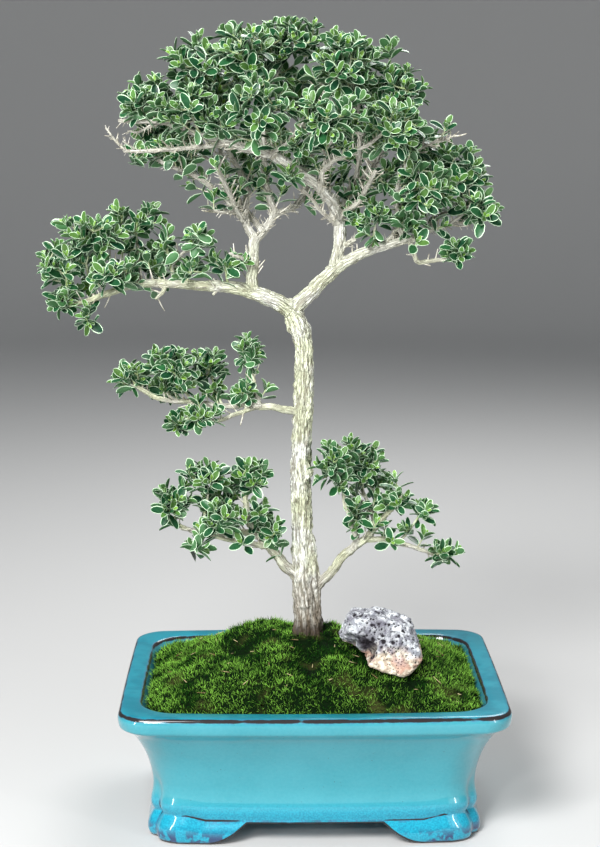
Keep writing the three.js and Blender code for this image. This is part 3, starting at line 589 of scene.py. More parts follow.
def hollow_point(column):
    """A point on the inner edge of the feet, round the hollow under the pot."""
    quarter, share, along = RING_SPOTS[column % len(RING_SPOTS)]
    corner = 3
    sign_x, sign_y = CORNER_SIGNS[quarter]
    angle = math.pi / 2 * (quarter + share)
    x = sign_x * (HOLLOW_HALF_WIDTH - corner) + corner * math.cos(angle)
    y = sign_y * (HOLLOW_HALF_DEPTH - corner) + corner * math.sin(angle)
    if along and quarter % 2 == 0:
        x *= 1 - 2 * along
    elif along:
        y *= 1 - 2 * along
    return x, y


def edge_point(column, inward, lift):
    """A point on the rounded lower edge of the wall."""
    x, y = ring_point(column, wall_level_at(0))
    height = lower_edge(column, x, y) + lift
    level = wall_level_at(height)
    level[1] += inward
    level[2] += inward
    return (*ring_point(column, level), height)


def low_wall(column, height):
    """Below the waist the rows follow the lower edge. This gives a row's level of the wall, its
    height, and how dark the pinch line and the folded corners are painted there: a glaze break
    with painted shade in the crease."""
    x, y = ring_point(column, wall_level_at(0))
    edge = lower_edge(column, x, y)
    base = edge + EDGE_ROUNDING[-1][1]
    if height < PINCH_HEIGHT:
        height = base + height * (PINCH_HEIGHT - base) / PINCH_HEIGHT
    level = wall_level_at(height)
    quarter, share, _ = RING_SPOTS[column % len(RING_SPOTS)]
    # The pinch line and the corner folds are painted dark: glaze break together with painted shade in
    # the crease.
    pinch = math.exp(-(((height - PINCH_HEIGHT) / PINCH_WIDTH) ** 2))
    pinch *= max(0, abs(2 * share - 1) * 2.5 - 1.5) * (1 - 0.5 * edge / FOOT_HEIGHT)
    fold = math.exp(-(((share - CREASE_SHARES[quarter]) / FOLD_WIDTH) ** 2))
    fold *= min(1, (WAIST_HEIGHT - height) / 8)
    height += PINCH_RISE * near_corner(column) * math.sin(math.pi * height / WAIST_HEIGHT)
    return level, height, max(pinch, 0.62 * fold)


def near_rim_edge(level, edge):
    """How near a level of the wall is to one of the rim's edges, from 0 to 1."""
    distance = math.hypot(level[0] - edge[0], level[1] - edge[1])
    return math.exp(-((distance / RIM_EDGE_WIDTH) ** 2))


def pot_point(column, row):
    """The place of a grid point of the pot, and how much the glaze breaks brown there, with painted
    shade along the lower edge and in the creases.
    """
    if row < 2:
        x, y = hollow_point(column)
        height = FOOT_HEIGHT + 0.6 if row == 0 else lower_edge(column, x, y)
        return (x, y, height), 0
    row -= 2
    if row < len(EDGE_ROUNDING):
        return edge_point(column, *EDGE_ROUNDING[row]), EDGE_BROWN_AND_SHADE[row]
    row -= len(EDGE_ROUNDING) - 1
    level = POT_PROFILE[row]
    height = level[0]
    brown = 0
    if height < WAIST_HEIGHT and row < WALL_ROWS:
        level, height, brown = low_wall(column, height)
    outer = near_rim_edge(level, OUTER_RIM_EDGE)
    inner = near_rim_edge(level, INNER_RIM_EDGE)
    return (*ring_point(column, level), height), max(brown, outer, inner)


def wrapped_grid(columns, rows, place, paint_name):
    """A grid whose columns close into a ring and whose ends are filled. `place` gives each
    point in millimetres, and a value that the mesh carries under the given name."""
    bm = bmesh.new()
    paint = bm.verts.layers.float.new(paint_name)
    bmesh.ops.create_grid(bm, x_segments=columns, y_segments=rows, size=1)
    for vert in bm.verts:
        column = round((vert.co.x + 1) / 2 * columns)
        row = round((vert.co.y + 1) / 2 * rows)
        point, value = place(column % columns, row)
        vert.co = spot(*point)
        vert[paint] = value
    bmesh.ops.remove_doubles(bm, verts=bm.verts[:], dist=1e-7)
    open_edges = [edge for edge in bm.edges if edge.is_boundary]
    bmesh.ops.holes_fill(bm, edges=open_edges, sides=0)
    bmesh.ops.recalc_face_normals(bm, faces=bm.faces[:])
    return bm


print("edge height at the front's middle:", bracket(0, FRONT_GAP), "mm")

# %% [markdown]
# The glaze is turquoise and thick. It is deepest on the flat of the rim, runs thin over sharp
# edges, where the brown body shows through, pools into a brighter band above the feet, and
# carries dark specks low on the feet. The same near-black is painted under the wall's lower edge
# and into the creases of the feet, as thin glaze with painted shade. All of this comes from the
# height on the pot and from clouded patches, with a glossy coat over it.

# %% Finish: glaze


def make_glaze():
    """Turquoise glaze with brown edges, and painted shade along the lower edge and in the creases of
    the feet.
    """
    material, shader, tree, place = new_material("turquoise_glaze", 0.3, 0.2)
    height = height_of(tree, place)
    cloud = patches(tree, place, 28, softness=0.25)
    wall = blend_colours(tree, cloud, (0.030, 0.245, 0.298), (0.042, 0.272, 0.330))
    grain = patches(tree, place, 520, 0.5, 0.25)
    wall = lay_over(tree, wall, grain, 0.25, (0.072, 0.325, 0.38))
    pinholes = patches(tree, place, 700, 0.76, 0.03, 1.0)
    wall = lay_over(tree, wall, pinholes, 0.6, (0.03, 0.12, 0.16))
    on_rim = step_between(tree, height, 0.0905, 0.0915)
    deep = blend_colours(tree, patches(tree, place, 60), (0.003, 0.17, 0.235), (0.010, 0.22, 0.29))
    colour = blend_colours(tree, on_rim, wall, deep)
    low = step_down(tree, height, 0.019, 0.031)
    mottled = patches(tree, place, 850, 0.5, 0.22, 1.0)
    bright = blend_colours(tree, mottled, (0.001, 0.21, 0.325), (0.009, 0.32, 0.45))
    colour = blend_colours(tree, times(tree, low, 0.9), colour, bright)
    feet = step_down(tree, height, 0.004, 0.013)
    specks = times(tree, feet, patches(tree, place, 130, 0.48, 0.05, 7.0))
    colour = lay_over(tree, colour, specks, 0.9, (0.028, 0.028, 0.095))
    worn = patches(tree, place, 90, 0.46, 0.2, 5.0)
    worn = calculate(tree, "MULTIPLY_ADD", worn, 0.55, 0.55)
    # The mask on the mesh holds thin glaze at the edges and painted shade in the creases and under the
    # lower edge; both turn near black here.
    edge = times(tree, read_attribute(tree, "thin_glaze_and_shade"), worn)
    fringe = times(tree, step_between(tree, edge, 0.1, 0.3), patches(tree, place, 500))
    colour = lay_over(tree, colour, fringe, 0.55, (0.05, 0.13, 0.25))
    edge = step_between(tree, edge, 0.35, 0.62)
    colour = blend_colours(tree, edge, colour, (0.013, 0.009, 0.010))
    tree.links.new(colour, shader.inputs["Base Color"])
    ripple = add_node(tree, "ShaderNodeTexNoise", Vector=place, Scale=55, Detail=2)
    add_bump(tree, shader, ripple.outputs["Fac"], 0.0012, 0.35)
    tree.links.new(calculate(tree, "MULTIPLY_ADD", edge, 0.4, 0.3), shader.inputs["Roughness"])
    thick = calculate(tree, "MULTIPLY_ADD", edge, -0.3, 1)
    thick = times(tree, thick, calculate(tree, "MULTIPLY_ADD", on_rim, -0.6, 1))
    tree.links.new(thick, shader.inputs["Coat Weight"])
    shader.inputs["Coat Roughness"].default_value = 0.05
    return material


# %% Pot: make it
DRAIN_HOLE_RADIUS = 8
DRAIN_HOLE_X = 55
DRILL_HEIGHT = 17
DRILL_DEPTH = 16


def cut_drain_holes(pot):
    """Cuts the two drain holes through the pot's floor."""
    bm = bmesh.new()
    for x in (-DRAIN_HOLE_X, DRAIN_HOLE_X):
        bmesh.ops.create_cone(
            bm, cap_ends=True, segments=40, radius1=DRAIN_HOLE_RADIUS * MM,
            radius2=DRAIN_HOLE_RADIUS * MM, depth=DRILL_DEPTH * MM,
            matrix=Matrix.Translation(spot(x, 0, DRILL_HEIGHT)),
        )
    drill = add_object("drill", mesh_from(bm, "drill"))
    cut = pot.modifiers.new("drain_holes", "BOOLEAN")
    cut.operation = "DIFFERENCE"
    cut.object = drill
    cut.solver = "EXACT"
    drilled = applied_mesh(pot)
    pot.modifiers.clear()
    pot.data = drilled
    bpy.data.objects.remove(drill)


def make_pot():
    """The glazed pot."""
    rows = len(EDGE_ROUNDING) + len(POT_PROFILE)
    bm = wrapped_grid(len(RING_SPOTS), rows, pot_point, "thin_glaze_and_shade")
    cut_drain_holes(add_piece("glazed_pot", bm, make_glaze(), ["pot"], sharp_angle=50))


make_pot()

# %% [markdown]
# Under the moss lies dark soil, and a narrow strip of it shows along the inside of the rim. The
# mound of moss is a dome with a few humps and hollows. The same formula gives the height of the
# mound, of every shoot of moss and of the straw on it, so nothing floats and nothing is buried.

# %% Moss: height of the mound
MOSS_SEAT = 83
MOSS_EDGE = 88
MOUND_RISE = 28
MOUND_HALF_WIDTH = 110
MOUND_HALF_DEPTH = 78
MOUND_POWER = 2.2
MOSS_INSET = 19.5
MOSS_CORNER = 19
MOSS_LEVEL = (0, MOSS_INSET, MOSS_INSET, MOSS_CORNER, 0)
MOSS_ROWS = 46
# middle in x and y, reach in x and y, and rise
HUMPS = [
    (-38, 18, 26, 24, 9),
    (-30, -14, 16, 16, 3),
    (66, 6, 24, 26, 4),
    (24, -46, 16, 14, 2.5),
    (13, 8, 13, 15, 7),
    (-3, -9, 12, 9, 5),
]
HOLLOWS = [
    (-47, -9, 13, 15, -9),
    (-8, -15, 8, 7, -1.5),
    (-2, -38, 7, 18, -6),
    (10, -14, 8, 7, -1.5),
    (30, -28, 12, 9, -2.5),
    (64, -52, 9, 5, -2),
    (-78, -40, 11, 5, -2),
]


def felt(bump, x, y):
    """How strongly a hump or hollow is felt at a place: 1 at its middle, fading to 0."""
    bump_x, bump_y, half_width, half_depth, _ = bump
    return math.exp(-(((x - bump_x) / half_width) ** 2 + ((y - bump_y) / half_depth) ** 2))


def mound_height(x, y):
    """Height of the moss in millimetres: a dome, its humps and its hollows."""
    across = min(1, abs(x) / MOUND_HALF_WIDTH)
    deep = min(1, abs(y) / MOUND_HALF_DEPTH)
    height = MOSS_EDGE + MOUND_RISE * (1 - across**MOUND_POWER) * (1 - deep**MOUND_POWER) ** 0.85
    for bump in HUMPS + HOLLOWS:
        height += bump[-1] * felt(bump, x, y)
    return height


def hollow_share(x, y):
    """How far a place lies in one of the dark hollows, from 0 to 1."""
    return max(felt(hollow, x, y) for hollow in HOLLOWS)


def cushion_noise(x, y):
    """A cloud whose seams, where it crosses 0, part the small cushions that moss grows in."""
    return abs(noise.noise(Vector((x / 7, y / 7, 1.7))))


def seam_share(x, y):
    """1 in the seam between two small cushions of moss, 0 on them."""
    return max(0, 1 - cushion_noise(x, y) / 0.16)


def cushions(x, y):
    """The small cushions that moss grows in, as a height in millimetres."""
    wide = noise.noise(Vector((x / 14, y / 14, 4.2)))
    small = min(0.45, cushion_noise(x, y))
    return 1.6 * wide + 5.0 * small - 1.2


def moss_point(column, row):
    """The place of a grid point of the moss, from its underside over its edge to the top."""
    x, y = ring_point(column, MOSS_LEVEL)
    if row == 0:
        return (0.99 * x, 0.99 * y, MOSS_SEAT), 0
    if row == 1:
        return (1.015 * x, 1.015 * y, MOSS_SEAT + 2.5), 0
    share = 1 - 0.98 * (row - 2) / (MOSS_ROWS - 2)
    x *= share
    y *= share
    edge = 1.2 * max(0, (share - 0.95) / 0.05)
    return (x, y, mound_height(x, y) + cushions(x, y) - edge - 0.8), 0


print("height of the moss at the middle:", round(mound_height(0, 0), 1), "mm")

# %% [markdown]
# Living moss is a carpet of tiny shoots, each with leaves finer than a needle. A tuft of four
# slender cones stands for a few of them. Thousands of tufts are planted over the mound by a rule
# that spreads them evenly, each turned, sized and tinted on its own.

# %% Moss: one tuft


def make_tuft(seed):
    """A tuft of slender cones, which know how high up they are."""
    bm = bmesh.new()
    height = bm.verts.layers.float.new("tip")
    bm.verts.layers.float.new("tint")
    for i in range(4):
        azimuth = 2 * math.pi * (i + 0.8 * chance(seed, i)) / 4
        lean = 0.15 + 1.25 * chance(seed, i + 10)
        length = (1.9 + 2.3 * chance(seed, i + 20)) * MM
        turn = Matrix.Rotation(azimuth, 4, "Z") @ Matrix.Rotation(lean, 4, "Y")
        raise_up = Matrix.Translation((0.35 * MM, 0, length / 2 - 0.5 * MM))
        made = bmesh.ops.create_cone(
            bm, cap_ends=True, segments=3, radius1=0.29 * MM, radius2=0, depth=length,
            matrix=turn @ raise_up,
        )
        for vert in made["verts"]:
            vert[height] = min(1, max(0, vert.co.z / (2 * MM)))
    bmesh.ops.remove_doubles(bm, verts=bm.verts[:], dist=1e-8)
    return mesh_from(bm, "tuft")


def plant(templates, placements):
    """Joins a copy of a small mesh at each placement: which template, its matrix, its values."""
    bm = bmesh.new()
    for kind, matrix, values in placements:
        copy = templates[kind].copy()
        copy.transform(matrix)
        for name, value in values.items():
            copy.attributes[name].data.foreach_set("value", [value] * len(copy.vertices))
        bm.from_mesh(copy)
        bpy.data.meshes.remove(copy)
    return bm


# %% Finish: moss


def make_moss_material():
    """Bright green shoots, yellow-green at their tips, with painted shade low between them and in the
    hollows.
    """
    material, shader, tree, place = new_material("living_moss", 0.9, 0.08)
    tip = read_attribute(tree, "tip")
    tint = read_attribute(tree, "tint")
    fresh = blend_colours(tree, tint, (0.006, 0.055, 0.001), (0.29, 0.64, 0.08))
    # Low on each tuft and on the bare mound the green falls to near black: partly older stems, mostly
    # painted shade between the shoots.
    dark = (0.001, 0.007, 0.0005)
    colour = blend_colours(tree, step_between(tree, tip, 0.05, 0.9), dark, fresh)
    worn = patches(tree, place, 45, 0.62, 0.08)
    colour = lay_over(tree, colour, worn, 0.4, (0.07, 0.07, 0.02))
    tree.links.new(colour, shader.inputs["Base Color"])
    return material


# %% Moss: plant it
TUFT_COUNT = 13250
PLANTED_HALF_WIDTH = 112
PLANTED_HALF_DEPTH = 84
TRUNK_FOOT_X = -3
TRUNK_FOOT_RADIUS = 8
MOSS_MATERIAL = make_moss_material()


def inside_moss(x, y):
    """Whether a place lies within the rounded outline of the moss."""
    half_width = RIM_HALF_WIDTH - MOSS_INSET + 2.4
    half_depth = RIM_HALF_DEPTH - MOSS_INSET + 0.8 + SIDE_BOW * (1 - (x / half_width) ** 2)
    past_x = max(0, abs(x) - (half_width - MOSS_CORNER))
    past_y = max(0, abs(y) - (half_depth - MOSS_CORNER))
    return math.hypot(past_x, past_y) < MOSS_CORNER


def mound_turn(x, y):
    """The turn that stands a tuft on the slope of the mound, half upright."""
    slope_x = (mound_height(x + 1, y) - mound_height(x - 1, y)) / 2
    slope_y = (mound_height(x, y + 1) - mound_height(x, y - 1)) / 2
    normal = Vector((-slope_x * 0.7, -slope_y * 0.7, 1)).normalized()
    return normal.to_track_quat("Z", "X").to_matrix().to_4x4()


def plant_moss():
    """The mound and its tufts."""
    bm = wrapped_grid(len(RING_SPOTS), MOSS_ROWS, moss_point, "tip")
    add_piece("moss_mound", bm, MOSS_MATERIAL, ["moss"])
    tufts = [make_tuft(seed) for seed in range(6)]
    placements = []
    for i in range(TUFT_COUNT):
        across, deep = spread_evenly(i, FLAT_STEPS)
        x = (2 * across - 1) * PLANTED_HALF_WIDTH + 1.4 * (chance(i, 1) - 0.5)
        y = (2 * deep - 1) * PLANTED_HALF_DEPTH + 1.4 * (chance(i, 2) - 0.5)
        hollow = hollow_share(x, y)
        in_trunk = math.hypot(x - TRUNK_FOOT_X, y) < TRUNK_FOOT_RADIUS
        if not inside_moss(x, y) or in_trunk or chance(i, 7) < 1.2 * hollow - 0.5:
            continue
        height = mound_height(x, y) + cushions(x, y) - 0.9
        seam = seam_share(x, y)
        size = (0.7 + 0.75 * chance(i, 3)) * (1 - 0.3 * max(seam, hollow))
        stand = Matrix.Translation(spot(x, y, height)) @ mound_turn(x, y)
        tipped = Matrix.Rotation(0.7 * (chance(i, 6) - 0.5), 4, "X")
        spun = Matrix.Rotation(6.28 * chance(i, 4), 4, "Z")
        matrix = stand @ spun @ tipped @ Matrix.Scale(size, 4)
        cloud = 0.5 + 1.7 * noise.noise(Vector((x / 15, y / 15, 9.0)))
        # The seams between cushions and the hollows lower the tint: painted shade.
        shade = 0.6 * seam + 1.2 * hollow
        tint = min(1, max(0, 0.5 * cloud + 1.0 * chance(i, 5) ** 2 - 0.05 - shade))
        placements.append((i % len(tufts), matrix, {"tint": tint}))
    half = len(placements) // 2
    add_piece("moss_shoots_a", plant(tufts, placements[:half]), MOSS_MATERIAL, ["moss"])
    add_piece("moss_shoots_b", plant(tufts, placements[half:]), MOSS_MATERIAL, ["moss"])
    print("tufts:", len(placements))


plant_moss()

# %% [markdown]
# Dead needles and bits of straw always end up in the moss. Each is a slender closed cone that
# lies on the mound, and a dry straw colour sets them off from the green.

# %% Moss: straw
STRAW_COUNT = 70
STRAW_HALF_WIDTH = 98
STRAW_HALF_DEPTH = 68


def scatter_straw():
    """Bits of straw that lie in the moss."""
    bm = bmesh.new()
    for i in range(STRAW_COUNT):
        across, deep = spread_evenly(i + 5000, FLAT_STEPS)
        x = (2 * across - 1) * STRAW_HALF_WIDTH
        y = (2 * deep - 1) * STRAW_HALF_DEPTH
        length = 2.5 + 6 * chance(i, 31) ** 2
        place = Matrix.Translation(spot(x, y, mound_height(x, y) + cushions(x, y) + 1.4))
        spun = Matrix.Rotation(6.28 * chance(i, 32), 4, "Z")
        laid = Matrix.Rotation(1.57 - 0.5 * chance(i, 33), 4, "Y")
        bmesh.ops.create_cone(
            bm, cap_ends=True, segments=5, radius1=0.34 * MM, radius2=0.16 * MM,
            depth=length * MM, matrix=place @ mound_turn(x, y) @ spun @ laid,
        )
    material, shader, tree, place = new_material("dry_straw", 0.8, 0.25)
    tone = patches(tree, place, 90)
    colour = blend_colours(tree, tone, (0.15, 0.10, 0.04), (0.42, 0.35, 0.19))
    tree.links.new(colour, shader.inputs["Base Color"])
    add_piece("straw", bm, material, ["moss"])


scatter_straw()

# %% [markdown]
# The wood was measured from the photograph: each branch is a list of points with the branch's
# radius there, the same list that the frame was built from. Roots, knots and bare twigs are
# added. A smooth curve through the points, with slight bends of its own, gives the living line
# of the branch.

# %% Wood: routes of the branches
TRUNK = [
    [-3, 0, 66, 7.5], [-3, 0, 92, 11], [-3, 0, 106, 10.5], [-3.5, 0, 116, 9.6], [-4, 0, 130, 8.7],
    [-6, 0, 155, 8], [-7, 1, 182, 7.4], [-7.5, 1.5, 205, 7.1], [-8, 2, 230, 7],
    [-7.5, 1, 252, 6.8], [-6.5, 0, 275, 6.7], [-6, 0, 297, 6.5], [-6.3, -1, 318, 6.4],
    [-10, -0.5, 331, 7.3], [-15, 0, 342, 5.6], [-18, 0, 345, 4.4],
]

LIMBS = [
    [[-12, 0, 338.5, 5.4], [-22, -0.5, 345, 5.5], [-34, -1, 350.3, 5], [-46, -2, 354, 4.4],
     [-60, -3, 356.5, 3.8], [-78, -5, 357.5, 3.3], [-96, -6, 358.5, 3], [-112, -8, 358.5, 2.6],
     [-128, -10, 355, 2.3], [-144, -11, 349, 1.9], [-160, -12, 345, 1.3]],
    [[-14, 0, 340, 5], [-6, 0, 347.5, 5.3], [3, 0, 356.8, 4.9], [14, -1, 367, 4.5],
     [24, -2, 374, 3.9], [34, -3, 379, 3.5], [46, -4, 382.5, 3.1], [57, -5, 386, 2.7],
     [65, -5, 388, 2.2]],
    [[-40, -1, 352, 4], [-40, 0, 364, 3.9], [-39.5, 1, 377, 3.7], [-38, 2, 389, 3.3]],
    [[14, -1, 366, 4.1], [16, -1, 378, 4], [18, 0, 390, 4.3], [17, 0, 401, 3.7]],
]

BOUGHS = [
    [[-38, 2, 386, 2.6], [-47, -2, 402, 2.1], [-57, -6, 413, 1.8], [-76, -9, 428, 1.5],
     [-105, -12, 441, 1.1]],
    [[-45, -1, 399, 2.1], [-43.5, 8, 418, 1.9], [-49, 14, 433, 1.6], [-58, 16, 446, 1.4],
     [-71, 8, 462, 1.2], [-77, 2, 480, 1]],
    [[-38, 2, 386, 2.7], [-26, 6, 402, 2.3], [-29, 8, 415, 2], [-32, 7, 445, 1.6],
     [-31, 2, 484, 1]],
    [[-26, 6, 401, 2], [-7, 22, 412, 1.8], [0, 42, 438, 1.4], [-1, 52, 464, 1]],
    [[-34, 3, 393, 2], [-47, 20, 408, 1.8], [-60, 38, 434, 1.4], [-64, 43, 462, 1]],
    [[-46, -1, 399, 1.8], [-54, -18, 417, 1.5], [-62, -32, 438, 1.1]],
    [[17, 0, 398, 3.6], [11, -8, 412, 3.4], [3, -16, 422, 3.2], [-12, -25, 433, 3],
     [-28, -32, 443, 2.8], [-46, -35, 448, 2.4], [-69, -34, 455, 2], [-92, -29, 462, 1.6],
     [-124, -25, 464, 1.1]],
    [[-54, -35, 449.5, 1.5], [-84, -33, 447, 1.3], [-121, -28, 445, 1]],
    [[-28, -32, 442, 1.5], [-18, -40, 450, 1.3], [-7, -49, 463, 1]],
    [[10, -8, 412, 2], [9, -4, 430, 1.7], [11, -4, 458, 1.4], [6, -4, 484, 1]],
    [[4, -16, 421, 1.5], [8, -33, 436, 1.3], [29, -42, 447, 1.2], [50, -34, 460, 1]],
    [[17, 0, 399, 2.4], [21, 4, 412, 2.1], [29, 12, 432, 1.7], [31, 15, 462, 1.2],
     [29, 14, 480, 1]],
    [[17, 0, 400, 1.8], [29, -14, 413, 1.6], [39, -33, 433, 1.2]],
    [[18, 1, 400, 2], [30, 20, 415, 1.7], [43, 38, 434, 1.3], [50, 46, 456, 1]],
    [[22, 6, 416, 1.8], [38, 5, 433, 1.5], [57, 1, 462, 1]],
    [[60, -5, 386, 1.8], [55, -9, 400, 1.5], [54, -18, 422, 1.1], [60, -24, 438, 1]],
    [[64, -5, 387, 1.9], [74, -3, 393, 1.7], [87, -2, 396, 1.3], [104, 0, 397, 1]],
    [[71, -4, 391, 1.6], [81, 4, 400, 1.5], [92, 8, 405.5, 1.3], [112, 6, 415, 1]],
    [[52, -4, 384, 1.8], [59, 14, 399, 1.5], [66, 27, 414, 1.3], [71, 33, 429, 1]],
    [[63, -5, 386, 1.7], [65.5, -6, 378, 1.5], [69, -7, 373, 1.4], [83, -9, 374, 1.2],
     [92, -10, 377, 1]],
    [[-6, 0, 270, 2.6], [-18, -2, 274, 2.2], [-30, -4, 276, 2.1], [-44, -5, 277.5, 1.9],
     [-64, -4, 277.5, 1.8], [-84, -2, 279, 1.6], [-104, -4, 283, 1.4], [-119, -6, 292, 1]],
    [[-36, -5, 277, 1.6], [-48, -10, 273, 1.4], [-66, -17, 269, 1.2], [-85, -20, 271, 1]],
    [[-36, -5, 277, 1.5], [-38, -3, 288, 1.4], [-43, -1, 302, 1]],
    [[-4, 0, 150, 3.6], [-18, -3, 166, 3.3], [-26, -5, 178, 3], [-37, -6, 190, 2.5],
     [-43, -6, 199, 2.1], [-45, -5, 210, 1.7], [-48, -2, 223, 1.1]],
    [[-27, -5, 181, 1.9], [-39, -10, 184, 1.7], [-58, -18, 189, 1.3], [-73, -22, 195, 1]],
    [[-38, -6, 191, 2], [-52, -3, 190, 1.9], [-74, 2, 188.5, 1.6], [-88, 1, 193, 1.3],
     [-102, -2, 205, 1]],
    [[-3, 0, 146, 3.2], [10, -2, 159, 2.9], [21, -4, 174, 2.7], [36, -5, 187, 2.3],
     [46, -5, 198.5, 1.7], [61, -6, 217, 1.1]],
    [[28, -5, 180, 1.8], [28, -6, 190, 1.6], [22, -8, 209, 1.3], [20, -8, 222, 1]],
    [[40, -5, 191, 1.7], [40, 2, 202, 1.4], [33, 6, 218, 1]],
    [[34, -5, 185, 1.8], [48, -7, 186, 1.7], [66, -11, 182, 1.4], [86, -12, 175, 1]],
    [[16, -1, 396, 1.4], [7, -8, 404, 1.2], [-8, -14, 421, 0.9]],
    [[17, 0, 380, 1.6], [23, -3, 385, 1.4], [28, -5, 387.5, 1.1]],
    [[-96, -6, 358, 1.3], [-99, -10, 353, 1.1], [-103, -12, 349, 0.9]],
    [[-41, 0, 366, 1.3], [-46, -8, 375, 1.1], [-55, -12, 379, 0.9]],
    [[-89, -6, 359, 1.5], [-92, -7, 370, 1.2], [-82, -12, 382, 0.9]],
    [[-118, -9, 357, 1.5], [-128, -16, 370, 1.2], [-137, -19, 382, 0.9]],
]
ROOTS = [
    [[-5, -1, 144, 2], [-8.5, -3, 130, 3.4], [-10.5, -5, 118, 3.2], [-12, -7, 106, 2.4]],
    [[-2, -1, 144, 2], [0.5, -4, 130, 3.6], [2.5, -6, 118, 3.2], [4.5, -8, 106, 2.6]],
    [[-2, 1, 140, 2], [1, 1, 128, 3.6], [4.5, 2, 118, 3], [7, 3, 106, 2.4]],
    [[-4, 1, 140, 2], [-5, 4, 128, 3.6], [-6, 7, 118, 3], [-7, 10, 106, 2.4]],
]
KNOTS = [
    [[-11, -2, 207, 2], [-12.3, -3, 213, 3.1], [-11.5, -2, 219, 1.6]],
    [[-11, 0, 233, 1.2], [-13, 0, 237, 1.9], [-12, 0, 241, 1]],
    [[-3, -3, 158, 1.5], [-2, -4.5, 163, 2.6], [-3, -3, 169, 1.2]],
    [[-8, -3, 268, 2], [-10.5, -2, 262, 2.2], [-9, -1, 254, 1.4]],
    [[-2.5, 0, 188, 3.8], [-1.8, -0.5, 173, 5], [0, -0.5, 155, 5.4], [1, -0.5, 138, 5.2],
     [2, -0.5, 122, 5.4], [3, 0, 106, 4.5]],
    [[-5, -2, 226, 2], [-3, -3, 232, 3.4], [-5, -2, 240, 2]],
]
BARE_TWIGS = [
    [[-105, -12, 441, 1.1], [-114, -16, 445, 0.9], [-122, -20, 451, 0.7]],
    [[-120, -28, 445.5, 0.9], [-127, -29, 453, 0.8], [-132, -30, 460, 0.6]],
    [[-98, -28, 462.5, 0.9], [-110, -22, 457, 0.8], [-119, -18, 458, 0.6]],
    [[-60, -3, 357, 1.2], [-66, -6, 351, 0.9]],
    [[46, -4, 383, 1.3], [53, -5, 392, 1.1], [56, -6, 398, 1]],
    [[87, -2, 396, 1], [97, -4, 404, 0.8], [103, -6, 411, 0.7]],
    [[30, 15, 450, 1.1], [40, 12, 470, 0.9], [48, 8, 482, 0.6]],
    [[-49, -1, 404, 1.2], [-60, -8, 405, 0.9], [-70, -11, 409, 0.7]],
    [[57, -8, 440, 1], [74, -18, 449, 0.8], [87, -22, 458, 0.6]],
    [[76, -19, 450, 0.8], [82, -24, 451, 0.7], [90, -27, 455, 0.6]],
]
BOUGH_GIRTH = 1.15


def smooth_route(route, step=2.0, wander=0.5, seed=0):
    """A route joined by a smooth curve with a point every few millimetres. It wanders a
    little between its ends, as a living branch does."""
    points = np.array(route, float)
    padded = np.vstack([2 * points[0] - points[1], points, 2 * points[-1] - points[-2]])
    samples = []
    for before, start, end, after in zip(padded, padded[1:], padded[2:], padded[3:]):
        count = max(1, round(float(np.linalg.norm((end - start)[:3])) / step))
        for t in np.arange(count) / count:
            curve = 2 * start + (end - before) * t
            curve = curve + (2 * before - 5 * start + 4 * end - after) * t**2
            curve = curve + (3 * start - before - 3 * end + after) * t**3
            samples.append(curve / 2)
    samples.append(points[-1])
    samples = np.array(samples)
    for i in range(1, len(samples) - 1):
        ends = min(1, i / 4, (len(samples) - 1 - i) / 4)
        sway = noise.noise_vector(Vector(samples[i, :3]) / 11 + Vector((seed, 0, 0)))
        samples[i, :3] += np.array(sway) * wander * ends
    return samples


TRUNK_ROUTE = smooth_route(TRUNK, wander=0.3)
LIMB_ROUTES = [smooth_route(route, wander=0.8, seed=i) for i, route in enumerate(LIMBS)]
KNOT_ROUTES = [smooth_route(route, wander=0.3, seed=i) for i, route in enumerate(ROOTS + KNOTS)]
BOUGH_ROUTES = [smooth_route(route, wander=1.5, seed=i) for i, route in enumerate(BOUGHS + BARE_TWIGS)]
for route in BOUGH_ROUTES:
    route[:, 3] *= BOUGH_GIRTH
print("points on the wood:", sum(len(r) for r in [TRUNK_ROUTE, *LIMB_ROUTES, *BOUGH_ROUTES]))

# %% [markdown]
# Branches grow out of one another without a seam. Tubes along the routes, drawn by a curve with
# a round bevel, overlap where they meet, and a voxel remesh then melts them into one skin. That
# skin is fine enough to carve the bark into it.

# %% Wood: tubes and one skin


def tubes(routes, roundness):
    """A mesh of tubes along routes of points with radii, in millimetres."""
    curve = bpy.data.curves.new("tubes", "CURVE")
    curve.dimensions = "3D"
    curve.bevel_depth = MM
    curve.bevel_resolution = roundness
    curve.use_fill_caps = True
    for route in routes:
        line = curve.splines.new("POLY")
        line.points.add(len(route) - 1)
        for point, (x, y, z, radius) in zip(line.points, route):
            point.co = (*spot(x, y, z), 1)
            point.radius = radius
    holder = add_object("tubes", curve)
    mesh = applied_mesh(holder)
    bpy.data.objects.remove(holder)
    bpy.data.curves.remove(curve)
    return mesh


def melt(mesh, voxel):
    """One closed skin round everything in a mesh, made of cubes of the given size in mm."""
    holder = add_object("melt", mesh)
    remesh = holder.modifiers.new("melt", "REMESH")
    remesh.mode = "VOXEL"
    remesh.voxel_size = voxel * MM
    skin = applied_mesh(holder)
    bpy.data.objects.remove(holder)
    return skin


# %% [markdown]
# Serissa bark splits into long flat plates with narrow cracks between them. The cracks run along
# the branch, so each point of the skin first learns where it is on its branch: how far along,
# and which way round. A noise stretched along the branch then decides how deep the crack is
# there, the point moves in by that much, and the value stays on the mesh for the colour.

# %% Wood: bark relief


